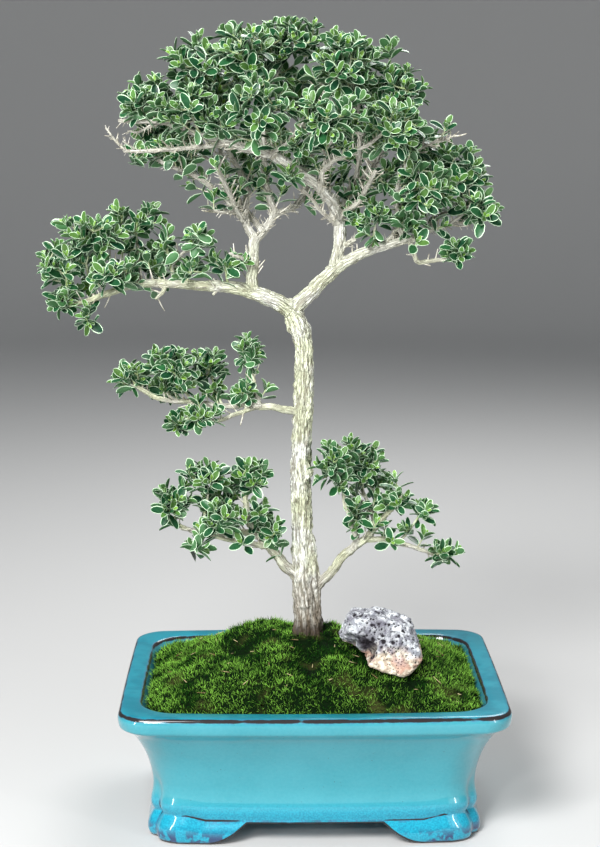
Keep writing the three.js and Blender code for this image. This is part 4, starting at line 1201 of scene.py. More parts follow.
def branch_samples(routes):
    """For every point of the routes: place, radius, distance along, two directions square to
    the branch that turn as little as possible along it, and the direction of the branch."""
    samples = []
    for number, route in enumerate(routes):
        along = 0.0
        side = Vector((1, 0, 0))
        for i, (x, y, z, radius) in enumerate(route):
            here = Vector((x, y, z))
            before = Vector(route[max(0, i - 1)][:3])
            after = Vector(route[min(len(route) - 1, i + 1)][:3])
            tangent = (after - before).normalized()
            side = side - tangent * side.dot(tangent)
            if side.length < 0.2:
                side = tangent.orthogonal()
            side.normalize()
            along += (here - before).length
            other = tangent.cross(side)
            samples.append((here, radius, along + 37 * number, side.copy(), other, tangent))
    return samples


def crack_depth(turn_x, turn_y, along, radius):
    """How cracked the bark is at a place on the branch, from 0 on a plate to 1 in a crack."""
    girth = max(radius, 1.5)
    coarse = Vector((turn_x * girth / 2.1, turn_y * girth / 2.1, along / 13))
    bend = noise.noise(Vector((turn_x * 2, turn_y * 2, along / 9))) * 0.5
    braid = abs(noise.noise(coarse + Vector((bend, bend, 0))))
    fine = Vector((turn_x * girth / 1.1, turn_y * girth / 1.1, along / 6 + 50))
    hair = abs(noise.noise(fine))
    return max(0, 1 - braid / 0.13), max(0, 1 - hair / 0.12)


def carve_bark(mesh, routes, depth_share, crack_share=1.0):
    """Moves the skin in along the cracks and writes what the colour needs on it."""
    samples = branch_samples(routes)
    tree = kdtree.KDTree(len(samples))
    for i, sample in enumerate(samples):
        tree.insert(sample[0], i)
    tree.balance()
    cracks = []
    grain = []
    thick = []
    moved = []
    for vert in mesh.vertices:
        here = (vert.co - POT_MIDDLE) / MM
        _, i, _ = tree.find(here)
        place, radius, along, side, other, tangent = samples[i]
        offset = here - place
        along += offset.dot(tangent)
        turn = Vector((offset.dot(side), offset.dot(other), 0))
        if turn.length > 1e-6:
            turn.normalize()
        crack, hair = crack_depth(turn.x, turn.y, along, radius)
        plate = noise.noise(Vector((turn.x * 1.3, turn.y * 1.3, along / 14 + 9)))
        foot = max(0, 1 - max(0, here.z - 108) / 45) if radius > 5 else 0
        flute = foot * 0.5 * math.cos(5 * math.atan2(turn.y, turn.x) + along / 30)
        ragged = noise.noise(Vector((turn.x * 3.5, turn.y * 3.5, along / 2.8)))
        flake = 1.5 * max(0, noise.noise(Vector((turn.x * 2.2, turn.y * 2.2, along / 6 + 30)))) ** 0.6
        depth = depth_share * min(radius, 7) * (crack**1.3 + 0.5 * hair)
        swell = depth_share * min(radius, 7) * (0.7 * plate + 0.9 * ragged + flake - 0.5) + flute
        moved.append(vert.co + vert.normal * (swell - depth + 0.15) * MM)
        cracks.append(crack_share * min(1, crack**1.8 + 0.35 * hair**2))
        grain.extend((turn.x * radius, turn.y * radius, along))
        thick.append(min(1, max(0, (radius - 2) / 4)))
    move_points(mesh, moved)
    write_values(mesh, "crack", cracks)
    write_values(mesh, "thick", thick)
    mesh.attributes.new("grain", "FLOAT_VECTOR", "POINT").data.foreach_set("vector", grain)


# %% [markdown]
# The bark is pale: cream on the plates, brown in the cracks, with a green film of algae on the
# middle of the trunk. Thin branches are greyer, and the foot of the trunk is brown, and nearly
# black where it meets the soil: damp wood with painted shade.

# %% Finish: bark


def bark_lines(tree, stretched, scale, width):
    """Thin winding lines along the branch, where a stretched noise crosses its middle."""
    cloud = add_node(tree, "ShaderNodeTexNoise", Vector=stretched, Scale=scale, Detail=3)
    away = calculate(tree, "ABSOLUTE", calculate(tree, "SUBTRACT", cloud.outputs["Fac"], 0.5))
    return step_down(tree, away, 0.2 * width, width)


def make_bark():
    """Pale fissured bark."""
    material, shader, tree, place = new_material("serissa_bark", 0.82, 0.25)
    height = height_of(tree, place)
    grain = read_attribute(tree, "grain", "Vector")
    stretched = add_node(tree, "ShaderNodeMapping", Vector=grain, Scale=(1, 1, 0.13)).outputs["Vector"]
    plates = patches(tree, stretched, 0.5, 0.46, 0.12, 4.0)
    colour = blend_colours(tree, plates, (0.74, 0.75, 0.66), (0.91, 0.93, 0.87))
    thick = read_attribute(tree, "thick")
    thin = calculate(tree, "MULTIPLY_ADD", thick, -0.7, 0.7)
    colour = blend_colours(tree, thin, colour, (0.41, 0.39, 0.32))
    wide_lines = bark_lines(tree, stretched, 0.30, 0.05)
    fine_lines = bark_lines(tree, stretched, 0.9, 0.05)
    lines = calculate(tree, "MAXIMUM", wide_lines, times(tree, fine_lines, 0.7))
    strength = calculate(tree, "MULTIPLY_ADD", thick, 0.3, 0.5)
    lines = times(tree, lines, strength)
    lichen = patches(tree, place, 60, 0.47, 0.14)
    middle = times(tree, step_between(tree, height, 0.13, 0.18), step_down(tree, height, 0.35, 0.40))
    colour = lay_over(tree, colour, times(tree, lichen, middle), 0.75, (0.57, 0.61, 0.38))
    foot = step_down(tree, height, 0.118, 0.19)
    weathered = patches(tree, stretched, 0.35, 0.5, 0.08, 5.0)
    foot = times(tree, foot, calculate(tree, "MULTIPLY_ADD", weathered, 0.35, 0.65))
    colour = blend_colours(tree, foot, colour, (0.20, 0.155, 0.11))
    # Painted shade with some damp: a near-black band where the trunk meets the moss.
    damp_and_shade = step_down(tree, height, 0.121, 0.135)
    colour = lay_over(tree, colour, damp_and_shade, 0.95, (0.03, 0.02, 0.016))
    deep = times(tree, read_attribute(tree, "crack"), 0.75)
    crack = calculate(tree, "MAXIMUM", deep, lines)
    colour = lay_over(tree, colour, crack, 0.95, (0.075, 0.055, 0.03))
    tree.links.new(colour, shader.inputs["Base Color"])
    add_bump(tree, shader, calculate(tree, "SUBTRACT", plates, lines), 0.0008, 0.8)
    return material


# %% Wood: make it
BARK = make_bark()
TRUNK_VOXEL = 0.72
BOUGH_VOXEL = 0.88


def make_wood():
    """Trunk and limbs in one skin, boughs in another."""
    thick = [TRUNK_ROUTE, *LIMB_ROUTES]
    trunk = melt(tubes(thick + KNOT_ROUTES, 5), TRUNK_VOXEL)
    carve_bark(trunk, thick, 0.11)
    add_piece("trunk_and_limbs", trunk, BARK, ["trunk"])
    boughs = melt(tubes(BOUGH_ROUTES, 3), BOUGH_VOXEL)
    carve_bark(boughs, BOUGH_ROUTES, 0.13, 0.5)
    add_piece("boughs", boughs, BARK, ["trunk"])


make_wood()

# %% [markdown]
# The leaves sit in sprays. Each spray starts at a point of the wood and fills a rounded clump,
# given by its middle and its reach in width, depth and height. Inside a clump the ends of the
# shoots are spread evenly, and each is joined to the nearest shoot that is already there, so
# the spray forks as it would if it grew.

# %% Leaves: the sprays
SPRAYS = {
    "crown": [
        [[-105, -12, 441], [-104, -4, 476], [22, 20, 19]],
        [[-77, 2, 478], [-75, -8, 501], [23, 22, 20]],
        [[-31, 3, 466], [-45, -26, 510], [21, 24, 22]],
        [[-31, 2, 480], [-44, 32, 512], [25, 24, 20]],
        [[-31, 2, 481], [-13, 2, 514], [25, 24, 21]],
        [[6, -4, 482], [20, -17, 500], [25, 22, 23]],
        [[57, 1, 460], [54, 0, 482], [23, 22, 20]],
        [[-40, -34, 447], [-34, -50, 476], [25, 18, 20]],
        [[-7, -49, 461], [10, -54, 470], [25, 17, 20]],
        [[50, -34, 459], [50, -32, 460], [27, 24, 22]],
        [[110, 6, 414], [94, 6, 434], [24, 24, 19]],
        [[60, -24, 436], [72, -20, 420], [24, 20, 20]],
        [[-72, -34, 456], [-78, -38, 470], [26, 18, 17]],
        [[-64, 43, 460], [-64, 52, 484], [25, 22, 21]],
        [[-1, 52, 462], [-8, 58, 486], [26, 22, 21]],
        [[50, 46, 455], [42, 50, 474], [25, 22, 20]],
        [[-46, 19, 407], [-34, 46, 446], [24, 22, 18]],
        [[71, 33, 428], [75, 40, 442], [24, 22, 18]],
        [[91, -10, 377], [95, -10, 379], [15, 12, 10]],
        [[-78, -9, 429], [-92, -14, 447], [20, 15, 11]],
        [[-60, 37, 432], [-98, 30, 462], [24, 22, 18]],
        [[29, 14, 478], [24, 26, 504], [24, 24, 20]],
        [[103, 0, 397], [108, -8, 408], [16, 18, 13]],
        [[43, 38, 434], [22, 66, 450], [24, 15, 18]],
        [[-108, -26, 463], [-109, -27, 474], [15, 13, 12]],
    ],
    "left": [
        [[-158, -12, 345], [-167, -12, 373], [20, 18, 16]],
        [[-137, -19, 381], [-142, -18, 393], [21, 18, 16]],
        [[-112, -8, 359], [-117, 4, 399], [21, 18, 16]],
        [[-122, -11, 362], [-130, -30, 368], [20, 12, 12]],
        [[-99, -6, 359], [-106, 22, 373], [16, 14, 13]],
        [[-143, -11, 350], [-153, 28, 374], [17, 14, 14]],
        [[-83, -12, 381], [-74, -14, 391], [11, 11, 8]],
        [[-146, -11, 348], [-147, -15, 337], [4, 5, 6]],
    ],
    "middle": [
        [[-117, -6, 291], [-121, -6, 298], [17, 15, 11]],
        [[-80, -2, 279], [-93, -13, 305], [18, 15, 15]],
        [[-60, -4, 277], [-70, 8, 301], [17, 16, 15]],
        [[-43, -1, 300], [-43, 0, 313], [11, 12, 13]],
        [[-84, -20, 271], [-74, -22, 274], [17, 12, 9]],
        [[-93, -3, 281], [-100, 22, 287], [17, 14, 12]],
    ],
    "low_left": [
        [[-101, -2, 204], [-94, -2, 214], [16, 15, 16]],
        [[-76, 2, 188], [-68, -10, 229], [16, 15, 14]],
        [[-48, -2, 221], [-42, -5, 229], [15, 15, 13]],
        [[-72, -22, 194], [-62, -24, 205], [19, 12, 13]],
        [[-60, 0, 189], [-62, 22, 210], [16, 15, 14]],
        [[-24, -5, 176], [-27, -9, 194], [9, 10, 13]],
    ],
    "low_right": [
        [[20, -8, 221], [14, -8, 237], [16, 14, 17]],
        [[33, 6, 216], [36, 8, 238], [15, 14, 14]],
        [[59, -6, 215], [56, -6, 211], [15, 14, 9]],
        [[40, -5, 192], [43, 20, 220], [14, 13, 12]],
        [[57, -9, 184], [75, -6, 207], [11, 12, 9]],
        [[85, -12, 175], [89, -12, 179], [13, 12, 7]],
    ],
}
FILLERS = [
    [[-56, -3, 357], [-58, -7, 372], [17, 11, 9]],
    [[38, -3, 381], [41, -12, 403], [16, 12, 13]],
    [[57, -6, 392], [64, -12, 403], [12, 10, 12]],
    [[-36, -6, 190], [-36, -7, 206], [10, 9, 11]],
    [[29, -6, 190], [29, -7, 206], [9, 9, 12]],
    [[-44, -5, 278], [-47, -7, 288], [10, 9, 9]],
    [[-110, -14, 444], [-114, -20, 441], [5, 5, 5]],
    [[-62, -34, 455], [-58, -44, 462], [16, 10, 12]],
    [[50, 2, 452], [66, 4, 452], [18, 16, 14]],
    [[-18, -40, 450], [-10, -36, 449], [9, 8, 9]],
    [[34, -23, 423], [48, -14, 430], [9, 9, 14]],
    [[-12, -25, 433], [-17, -29, 430], [10, 8, 7]],
    [[20, 2, 404], [27, -6, 401], [8, 7, 9]],
    [[-84, -5, 358], [-79, -9, 368], [13, 9, 9]],
    [[-92, -7, 366], [-97, -9, 388], [8, 8, 12]],
    [[-157, -12, 346], [-166, -13, 348], [9, 8, 10]],
    [[-47, -3, 218], [-33, -5, 235], [7, 6, 7]],
    [[20, -8, 220], [15, -9, 242], [12, 8, 7]],
    [[48, 8, 481], [50, 0, 507], [9, 8, 9]],
    [[-141, -18, 390], [-158, -14, 397], [9, 7, 8]],
    [[-90, -11, 299], [-104, -12, 312], [9, 7, 7]],
    [[-85, -20, 271], [-90, -20, 268], [8, 6, 7]],
    [[-73, -22, 195], [-77, -22, 185], [9, 6, 7]],
    [[-70, -8, 221], [-83, -8, 232], [8, 7, 8]],
    [[35, 7, 233], [27, 0, 249], [9, 7, 7]],
    [[15, -8, 234], [11, -8, 247], [8, 7, 7]],
]
ROOM_PER_TIP = 19
LOW_SHARE = 0.35


def clump_tips(heart, reach, seed, share=1.0):
    """The ends of a spray's shoots, spread through the outer part of its clump."""
    size = (reach[0] * reach[1] * reach[2]) ** (2 / 3)
    count = max(2, round(share * size / ROOM_PER_TIP))
    tips = []
    for i in range(count):
        turn, height, depth = spread_evenly(i + 13 * seed, DEEP_STEPS)
        azimuth = 2 * math.pi * turn
        level = 2 * height - 1
        round_about = math.sqrt(1 - level * level)
        out = (0.1 + 0.9 * depth) ** (1 / 2.6)
        direction = Vector((round_about * math.cos(azimuth), round_about * math.sin(azimuth), level))
        offset = Vector([d * out * max(3, r - 4.5) for d, r in zip(direction, reach)])
        tips.append(Vector(heart) + offset)
    return tips


def bent_shoot(start, end, thick, thin, lift, steps=4):
    """A shoot from one point to another that bends up towards the light."""
    middle = (start + end) / 2 + Vector((0, 0, -lift * (end - start).length))
    route = []
    for i in range(steps + 1):
        t = i / steps
        point = start * (1 - t) ** 2 + middle * 2 * t * (1 - t) + end * t**2
        route.append((*point, thick + (thin - thick) * t))
    return route


def grow_spray(root, heart, reach, seed):
    """The shoots of one spray, and the place and direction of each leafy end."""
    root = Vector(root)
    centre = Vector(heart)
    main = bent_shoot(root, root.lerp(centre, 0.8), 1.1, 0.8, 0.12)
    shoots = [main]
    joints = [Vector(point[:3]) for point in main[1:]]
    ends = []
    low_heart = root.lerp(centre, 0.4)
    low_reach = [0.75 * r for r in reach]
    tips = clump_tips(heart, reach, seed) + clump_tips(low_heart, low_reach, seed + 60, LOW_SHARE)
    for tip in sorted(tips, key=lambda tip: (tip - root).length):
        start = min(joints, key=lambda joint: (joint - tip).length + 0.3 * (joint - root).length)
        shoot = bent_shoot(start, tip, 0.72, 0.42, 0.12)
        shoots.append(shoot)
        joints.extend(Vector(point[:3]) for point in shoot[2:4])
        growth = (tip - Vector(shoot[3][:3])).normalized()
        outward = (tip - centre).normalized()
        ends.append((tip, (growth * 0.35 + outward * 0.65 + UP * 0.65).normalized()))
    return shoots, ends


# %% [markdown]
# Between the sprays the older wood carries short side shoots. Some end in a few leaves, and the
# rest are bare pale spurs, which is what is left of shoots that were pinched off. They stand
# along the boughs and limbs at even steps and point up and away from the wood.

# %% Leaves: side shoots on the wood
SPUR_STEP = 2
LEAFY_SHARE = 0.25


def on_bare_end(x, z):
    """Whether a place is on the crown's bare far left end."""
    return x < -98 and z > 425


def grow_side_shoots():
    """Short shoots along the thinner wood, and the leafy ends of some of them."""
    shoots = []
    ends = []
    count = 0
    for route in LIMB_ROUTES + BOUGH_ROUTES:
        length = len(route)
        for i in range(SPUR_STEP, length - 1, SPUR_STEP):
            x, y, z, radius = route[i]
            if radius > 4 or (z < 355 and abs(x) < 30):
                continue
            count += 1
            if on_bare_end(x, z) and chance(count, 6) < 0.85:
                continue
            along = Vector(route[i + 1][:3]) - Vector(route[i - 1][:3])
            side = along.orthogonal().normalized()
            side.rotate(Matrix.Rotation(6.28 * chance(count, 7), 3, along.normalized()))
            heading = (side + along.normalized() * 0.5 + UP * 0.7).normalized()
            start = Vector((x, y, z))
            in_fork = 300 < z < 405 and abs(x) < 62
            bare = in_fork or on_bare_end(x, z) or heading.z < 0.15
            leafy = chance(count, 8) < LEAFY_SHARE and not bare
            reach = 7 + 11 * chance(count, 9) if leafy else 4 + 9 * chance(count, 9)
            tip = start + heading * reach
            shoots.append(bent_shoot(start, tip, 0.7, 0.36, 0.08, 2))
            if leafy:
                ends.append((tip, (heading + UP * 0.4).normalized()))
    return shoots, ends


# %% [markdown]
# Up in the crown the boughs look furred: hundreds of very fine bare spurs stand off them.

# %% Leaves: bristles on the crown's boughs
BRISTLES_PER_POINT = 2


def grow_bristles():
    """Very fine bare spurs all over the boughs of the crown."""
    bristles = []
    for number, route in enumerate(BOUGH_ROUTES):
        for i in range(1, len(route) - 1):
            x, y, z, radius = route[i]
            if z < 380:
                continue
            along = (Vector(route[i + 1][:3]) - Vector(route[i - 1][:3])).normalized()
            for turn in range(BRISTLES_PER_POINT):
                key = BRISTLES_PER_POINT * i + turn
                side = along.orthogonal().normalized()
                side.rotate(Matrix.Rotation(6.28 * chance(key, number + 300), 3, along))
                start = Vector((x, y, z)) + side * radius * 0.7
                heading = (side + UP * 0.3 + along * 0.4).normalized()
                tip = start + heading * (1.5 + 4 * chance(key, number + 400))
                bristles.append(bent_shoot(start, tip, 0.34, 0.16, 0.05, 1))
    return bristles


# %% [markdown]
# A serissa leaf is a small oval with a cream margin, blunt at its tip, slightly folded along its
# midrib. A narrow grid is squeezed into that outline, folded and bent. A copy of it, turned over
# and let down along the midrib, closes it from below into a very thin lens. Each point remembers
# how far it is from the margin, so the cream line stays sharp however few faces a leaf has.

# %% Leaves: one leaf
LEAF_LENGTH = 11.3
LEAF_WIDTH = 5.8
LEAF_THICKNESS = 0.4
LEAF_ROWS = (0, 0.13, 0.36, 0.66, 0.88, 0.97, 1)


def leaf_half_width(t):
    """Half the width of a leaf at a share of its length: a short stalk, then a blunt oval."""
    oval = math.sin(math.pi * t**1.35) ** 0.45 * min(1, t / 0.35) ** 0.4 if 0 < t < 1 else 0
    return LEAF_WIDTH / 2 * oval + 0.25 * (1 - t) ** 8


def make_leaf(fold, droop, twist):
    """A leaf that lies along +Y with its upper side up, in metres."""
    bm = bmesh.new()
    margin = bm.verts.layers.float.new("margin")
    under = bm.verts.layers.float.new("under")
    bm.verts.layers.float.new("tint")
    bm.verts.layers.float.new("age")
    rows = len(LEAF_ROWS) - 1
    bmesh.ops.create_grid(bm, x_segments=2, y_segments=rows, size=1)
    for vert in bm.verts:
        t = LEAF_ROWS[round((vert.co.y + 1) / 2 * rows)]
        half = leaf_half_width(t)
        x = round(vert.co.x) * half
        vert[margin] = half - abs(x)
        lift = fold * abs(x) - droop * t * t * LEAF_LENGTH + twist * x * t
        vert.co = Vector((x, t * LEAF_LENGTH, lift)) * MM
    lower = bmesh.ops.duplicate(bm, geom=bm.faces[:])["geom"]
    bmesh.ops.reverse_faces(bm, faces=[item for item in lower if isinstance(item, bmesh.types.BMFace)])
    for item in lower:
        if isinstance(item, bmesh.types.BMVert) and item[margin] > 0.3:
            item.co.z -= LEAF_THICKNESS * MM
            item[under] = 1
    bmesh.ops.remove_doubles(bm, verts=bm.verts[:], dist=0.02 * MM)
    return mesh_from(bm, "leaf")


LEAVES = [
    make_leaf(0.30, 0.05, 0.00),
    make_leaf(0.18, 0.14, 0.05),
    make_leaf(0.42, 0.00, -0.06),
    make_leaf(0.26, 0.22, 0.08),
    make_leaf(0.55, -0.08, 0.00),
]
print("faces of a leaf:", len(LEAVES[0].polygons))

# %% [markdown]
# Serissa leaves grow in opposite pairs, each pair turned a quarter from the last. At the end of
# a shoot the pairs crowd into a rosette: large leaves below, spread wide, and small, upright,
# yellow-green ones in the middle. The rule below places one pair after another down the shoot.

# %% Leaves: a rosette
PAIRS = [
    # distance down the shoot, size, angle from the shoot, age from 0 (new) to 1 (grown)
    (0.0, 0.44, 16, 0.0),
    (1.0, 0.74, 36, 0.5),
    (3.2, 0.98, 52, 0.9),
    (7.4, 1.0, 66, 1.0),
]


def keep_inside(matrix):
    """Shifts a leaf that would stand out of the frame's box back into it."""
    low, high = cad_bounds
    leaf_end = matrix @ Vector((0, LEAF_LENGTH * MM, 0))
    leaf_end_inside = [min(max(v, a + 1.5 * MM), b - 1.5 * MM) for v, a, b in zip(leaf_end, low, high)]
    return Matrix.Translation(Vector(leaf_end_inside) - leaf_end) @ matrix


def rosette(tip, axis, seed):
    """The placements of the leaves at the end of one shoot."""
    placements = []
    side = axis.orthogonal().normalized()
    side.rotate(Matrix.Rotation(2 * math.pi * chance(seed, 1), 3, axis))
    vigour = 0.86 + 0.26 * chance(seed, 2)
    pairs = PAIRS if chance(seed, 3) < 0.7 else PAIRS[:-1]
    for number, (down, size, angle, age) in enumerate(pairs):
        for half in (0, 1):
            key = 10 * number + half
            turn = math.pi / 2 * number + math.pi * half + 0.5 * (chance(seed, key + 20) - 0.5)
            tilt = math.radians(angle + 26 * (chance(seed, key + 40) - 0.5))
            outward = side.copy()
            outward.rotate(Matrix.Rotation(turn, 3, axis))
            along = axis * math.cos(tilt) + outward * math.sin(tilt)
            upper = (axis * math.sin(tilt) - outward * math.cos(tilt)).normalized()
            upper.rotate(Matrix.Rotation(0.9 * (chance(seed, key + 110) - 0.5), 3, along))
            across = along.cross(upper)
            turned = Matrix((across, along, upper)).transposed().to_4x4()
            length = size * vigour * (0.85 + 0.3 * chance(seed, key + 60))
            matrix = Matrix.Translation(spot(*(tip - axis * down))) @ turned @ Matrix.Scale(length, 4)
            matrix = keep_inside(matrix)
            kind = int(chance(seed, key + 80) * len(LEAVES))
            values = {"age": age, "tint": chance(seed, key + 90)}
            placements.append((kind, matrix, values))
    return placements


# %% [markdown]
# The blade is a deep glossy green with a cream margin and a lighter underside.
# New leaves are yellow-green. Which leaf is new, and how far a point is from the margin, is on
# the mesh already, so the material only has to turn those values into colours.

# %% Finish: leaf


def make_leaf_material():
    """Variegated serissa leaf."""
    material, shader, tree, place = new_material("variegated_leaf", 0.34, 0.26)
    tint = read_attribute(tree, "tint")
    green = blend_colours(tree, tint, (0.002, 0.030, 0.015), (0.015, 0.092, 0.028))
    cloud = patches(tree, place, 420, 0.5, 0.2)
    green = lay_over(tree, green, cloud, 0.25, (0.05, 0.16, 0.055))
    young = step_down(tree, read_attribute(tree, "age"), 0.0, 0.8)
    green = lay_over(tree, green, young, 0.85, (0.22, 0.40, 0.06))
    under = step_between(tree, read_attribute(tree, "under"), 0.05, 0.3)
    green = lay_over(tree, green, under, 0.5, (0.10, 0.23, 0.09))
    waver = add_node(tree, "ShaderNodeTexNoise", Vector=place, Scale=900, Detail=1)
    offset = calculate(tree, "MULTIPLY_ADD", waver.outputs["Fac"], 0.35, -0.17)
    distance = calculate(tree, "ADD", read_attribute(tree, "margin"), offset)
    rim = step_down(tree, distance, 0.35, 0.52)
    colour = blend_colours(tree, rim, green, (0.62, 0.80, 0.57))
    tree.links.new(colour, shader.inputs["Base Color"])
    return material


def make_shoot_material():
    """Young shoots: pale grey bark that turns green towards the leaves."""
    material, shader, tree, place = new_material("young_shoot", 0.7, 0.3)
    bark = blend_colours(tree, patches(tree, place, 260), (0.34, 0.32, 0.25), (0.62, 0.60, 0.52))
    fresh = read_attribute(tree, "fresh")
    colour = blend_colours(tree, fresh, bark, (0.30, 0.42, 0.14))
    tree.links.new(colour, shader.inputs["Base Color"])
    return material


# %% Leaves: make them
LEAF_MATERIAL = make_leaf_material()
SPRAYS_PER_PIECE = 9
FRESH_REACH = 7


def mark_fresh(mesh, tips):
    """Writes on the shoots how near they are to their leafy ends."""
    tree = kdtree.KDTree(len(tips))
    for i, tip in enumerate(tips):
        tree.insert(spot(*tip), i)
    tree.balance()
    fresh = []
    for vert in mesh.vertices:
        _, _, distance = tree.find(vert.co)
        fresh.append(max(0, 1 - distance / (FRESH_REACH * MM)))
    write_values(mesh, "fresh", fresh)


def make_foliage():
    """Every spray: its shoots and its leaves."""
    all_shoots = []
    all_tips = []
    seed = 0
    leaf_count = 0
    for part, sprays in SPRAYS.items():
        for first in range(0, len(sprays), SPRAYS_PER_PIECE):
            placements = []
            nodes = []
            for number, (root, heart, reach) in enumerate(sprays[first:first + SPRAYS_PER_PIECE]):
                seed += 1
                shoots, ends = grow_spray(root, heart, reach, seed)
                all_shoots.extend(shoots)
                all_tips.extend(tip for tip, _ in ends)
                for i, (tip, axis) in enumerate(ends):
                    placements.extend(rosette(tip, axis, 50 * seed + i))
                nodes.append(f"{part}_spray_{first + number + 1:02d}")
            leaf_count += len(placements)
            name = f"{part}_leaves_{first // SPRAYS_PER_PIECE + 1}"
            add_piece(name, plant(LEAVES, placements), LEAF_MATERIAL, nodes, 100)
    shoots, ends = grow_side_shoots()
    for number, (root, heart, reach) in enumerate(FILLERS):
        more_shoots, more_ends = grow_spray(root, heart, reach, 200 + number)
        shoots.extend(more_shoots)
        ends.extend(more_ends)
    all_shoots.extend(shoots + grow_bristles())
    all_tips.extend(tip for tip, _ in ends)
    placements = [leaf for i, (tip, axis) in enumerate(ends) for leaf in rosette(tip, axis, 9000 + i)]
    leaf_count += len(placements)
    add_piece("inner_leaves", plant(LEAVES, placements), LEAF_MATERIAL, [], 100)
    mesh = tubes(all_shoots, 0)
    mark_fresh(mesh, all_tips)
    add_piece("shoots", mesh, make_shoot_material(), ["trunk"])
    print("rosettes:", len(all_tips), "leaves:", leaf_count)


make_foliage()

# %% [markdown]
# The stone is a piece of lava: two rounded lumps grown together, full of gas bubbles that left
# pits when the surface broke. Each lump is a ball pushed out face by face, both are melted into
# one skin with a few crags on top, and the pits are pressed in where a cell pattern is near its
# centres. A larger hollow is pressed into the front. The pits, the recesses among the crags and
# the hollow are painted near black as shade.

# %% Stone: its form
UPPER_LOBE = (
    (43, -28, 127.5),
    [
        (-1, 0, 0.5, 21), (0.1, 0, 1, 12.5), (1, 0.1, 0.8, 19), (0.2, -1, 0.5, 14.5),
        (-0.6, -0.6, -1, 13), (0, 1, 0, 16), (-0.2, 0, -1, 15), (1, 0, -0.3, 21.5),
    ],
)
LOWER_LOBE = (
    (56, -38, 114.5),
    [
        (1, 0, 0.3, 15), (0, 0, 1, 17), (-1, 0, 0.6, 18), (0.1, -1, 0.2, 13),
        (0, 1, 0, 13), (-0.3, 0, -1, 10), (1, -0.3, -1, 13.5), (0.8, -0.4, 0.9, 16.5),
    ],
)
CRAGS = [
    (28, -28, 135, 6.5),
    (42.5, -25, 137, 6.5),
    (59, -28, 132, 6.5),
    (36, -36, 124, 8.5),
]
STONE_HOLLOW = (33, -46, 122)
STONE_HOLLOW_RADIUS = 8.5
STONE_HOLLOW_DEPTH = 4.5
STONE_VOXEL = 0.74


def lobe(bm, centre, faces):
    """A ball whose surface is pushed out to rounded faces."""
    ball = bmesh.ops.create_icosphere(bm, subdivisions=5, radius=1)
    for vert in ball["verts"]:
        direction = vert.co.normalized()
        total = 0
        for x, y, z, distance in faces:
            facing = direction.dot(Vector((x, y, z)).normalized()) / distance
            if facing > 0:
                total += facing**9
        radius = total ** (-1 / 9)
        vert.co = spot(*(Vector(centre) + direction * radius))


def pit(place, size, reach):
    """How deep a bubble's pit is at a place, from 0 outside it to 1 at its middle."""
    distances, _ = noise.voronoi(place / size)
    return max(0, 1 - distances[0] / reach)


def weather_stone(mesh):
    """Presses pits and ragged lumps into the stone, and writes where the pits, the pressed-in crags and
    the hollow are to be painted dark as shade.
    """
    pit_and_hollow_shade = []
    moved = []
    for vert in mesh.vertices:
        here = (vert.co - POT_MIDDLE) / MM
        large = pit(here, 5.5, 0.36)
        small = pit(here + Vector((31, 7, 3)), 2.6, 0.42)
        crags = noise.turbulence(here / 9, 4, True) - 0.55
        above = min(1, max(0, (here.z - 112) / 12))
        fewer = (0.35 + 0.65 * above) * min(1, max(0, 0.7 + 1.4 * noise.noise(here / 12)))
        hollow = math.exp(-((here - Vector(STONE_HOLLOW)).length / STONE_HOLLOW_RADIUS) ** 2)
        depth = fewer * (2.2 * large**0.5 + 1.0 * small**0.6) + STONE_HOLLOW_DEPTH * hollow
        moved.append(vert.co - vert.normal * (depth + (1.0 + 2.4 * above) * crags) * MM)
        # Pits, pressed-in crags and the hollow get a value for painted shade in the recesses.
        pit_and_hollow_shade.append(min(1, fewer * (1.3 * large + small) * 1.5 + 0.5 * max(0, crags) + hollow))
    move_points(mesh, moved)
    write_values(mesh, "pit", pit_and_hollow_shade)


# %% Finish: lava stone


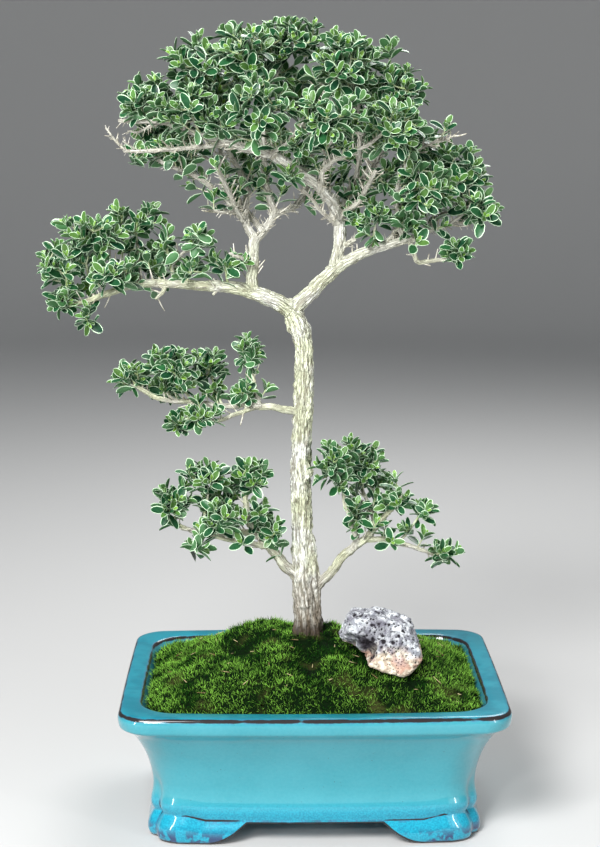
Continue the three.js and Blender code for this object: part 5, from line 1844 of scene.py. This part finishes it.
def make_stone_material():
    """White and grey lava, cream and pink on its lower lump, with its pits and hollows painted near
    black as shade.
    """
    material, shader, tree, place = new_material("lava_stone", 0.9, 0.2)
    height = height_of(tree, place)
    grain = patches(tree, place, 260, 0.5, 0.1, 5.0)
    grey = blend_colours(tree, grain, (0.25, 0.26, 0.29), (0.68, 0.71, 0.73))
    shade = patches(tree, place, 110, 0.52, 0.12, 5.0)
    grey = lay_over(tree, grey, shade, 0.65, (0.11, 0.10, 0.13))
    cream = blend_colours(tree, patches(tree, place, 300), (0.42, 0.34, 0.26), (0.78, 0.71, 0.58))
    rust = patches(tree, place, 120, 0.52, 0.07)
    cream = lay_over(tree, cream, rust, 0.75, (0.50, 0.27, 0.20))
    wander = calculate(tree, "MULTIPLY_ADD", patches(tree, place, 60, 0.5, 0.3), 0.012, 0.0)
    low = step_between(tree, calculate(tree, "ADD", height, wander), 0.129, 0.121)
    colour = blend_colours(tree, low, grey, cream)
    # Small holes from a cell pattern, and the recesses marked on the mesh, are painted near black:
    # painted shade.
    cells = add_node(tree, "ShaderNodeTexVoronoi", Vector=place, Scale=620)
    holes = step_down(tree, cells.outputs["Distance"], 0.16, 0.30)
    holes = times(tree, holes, patches(tree, place, 140, 0.46, 0.06))
    dark = calculate(tree, "MAXIMUM", holes, step_between(tree, read_attribute(tree, "pit"), 0.1, 0.8))
    colour = blend_colours(tree, dark, colour, (0.020, 0.017, 0.022))
    tree.links.new(colour, shader.inputs["Base Color"])
    rough = add_node(tree, "ShaderNodeTexNoise", Vector=place, Scale=700, Detail=5)
    relief = calculate(tree, "SUBTRACT", rough.outputs["Fac"], holes)
    add_bump(tree, shader, relief, 0.0012, 0.9)
    return material


def make_stone():
    """The lava stone."""
    bm = bmesh.new()
    lobe(bm, *UPPER_LOBE)
    lobe(bm, *LOWER_LOBE)
    for x, y, z, radius in CRAGS:
        crag = Matrix.Translation(spot(x, y, z))
        bmesh.ops.create_icosphere(bm, subdivisions=3, radius=radius * MM, matrix=crag)
    stone = melt(mesh_from(bm, "stone_form"), STONE_VOXEL)
    weather_stone(stone)
    add_piece("lava_stone", stone, make_stone_material(), ["stone"])


make_stone()

# %% [markdown]
# What is left keeps its plain form: the soil, which shows as a dark strip round the moss, and
# the two drain meshes under it. They only need a finish of their own.

# %% Finish: soil and drain meshes


def make_soil_material():
    """Dark granular soil."""
    material, shader, tree, place = new_material("dark_soil", 0.95, 0.15)
    grains = add_node(tree, "ShaderNodeTexVoronoi", Vector=place, Scale=420)
    colour = blend_colours(tree, grains.outputs["Distance"], (0.045, 0.03, 0.02), (0.012, 0.008, 0.006))
    tree.links.new(colour, shader.inputs["Base Color"])
    add_bump(tree, shader, grains.outputs["Distance"], 0.0015, 0.9)
    return material


def make_mesh_material():
    """Black plastic of the drain meshes."""
    material, shader, tree, place = new_material("black_plastic", 0.5, 0.4)
    scuffs = patches(tree, place, 300)
    colour = blend_colours(tree, scuffs, (0.012, 0.012, 0.013), (0.03, 0.03, 0.03))
    tree.links.new(colour, shader.inputs["Base Color"])
    return material


def give_finish(node, material):
    """Puts a material on a piece of the frame that stays as it is."""
    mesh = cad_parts[node].data
    mesh.materials.clear()
    mesh.materials.append(material)


give_finish("soil", make_soil_material())
DRAIN_MESH_MATERIAL = make_mesh_material()
give_finish("drain_mesh_left", DRAIN_MESH_MATERIAL)
give_finish("drain_mesh_right", DRAIN_MESH_MATERIAL)
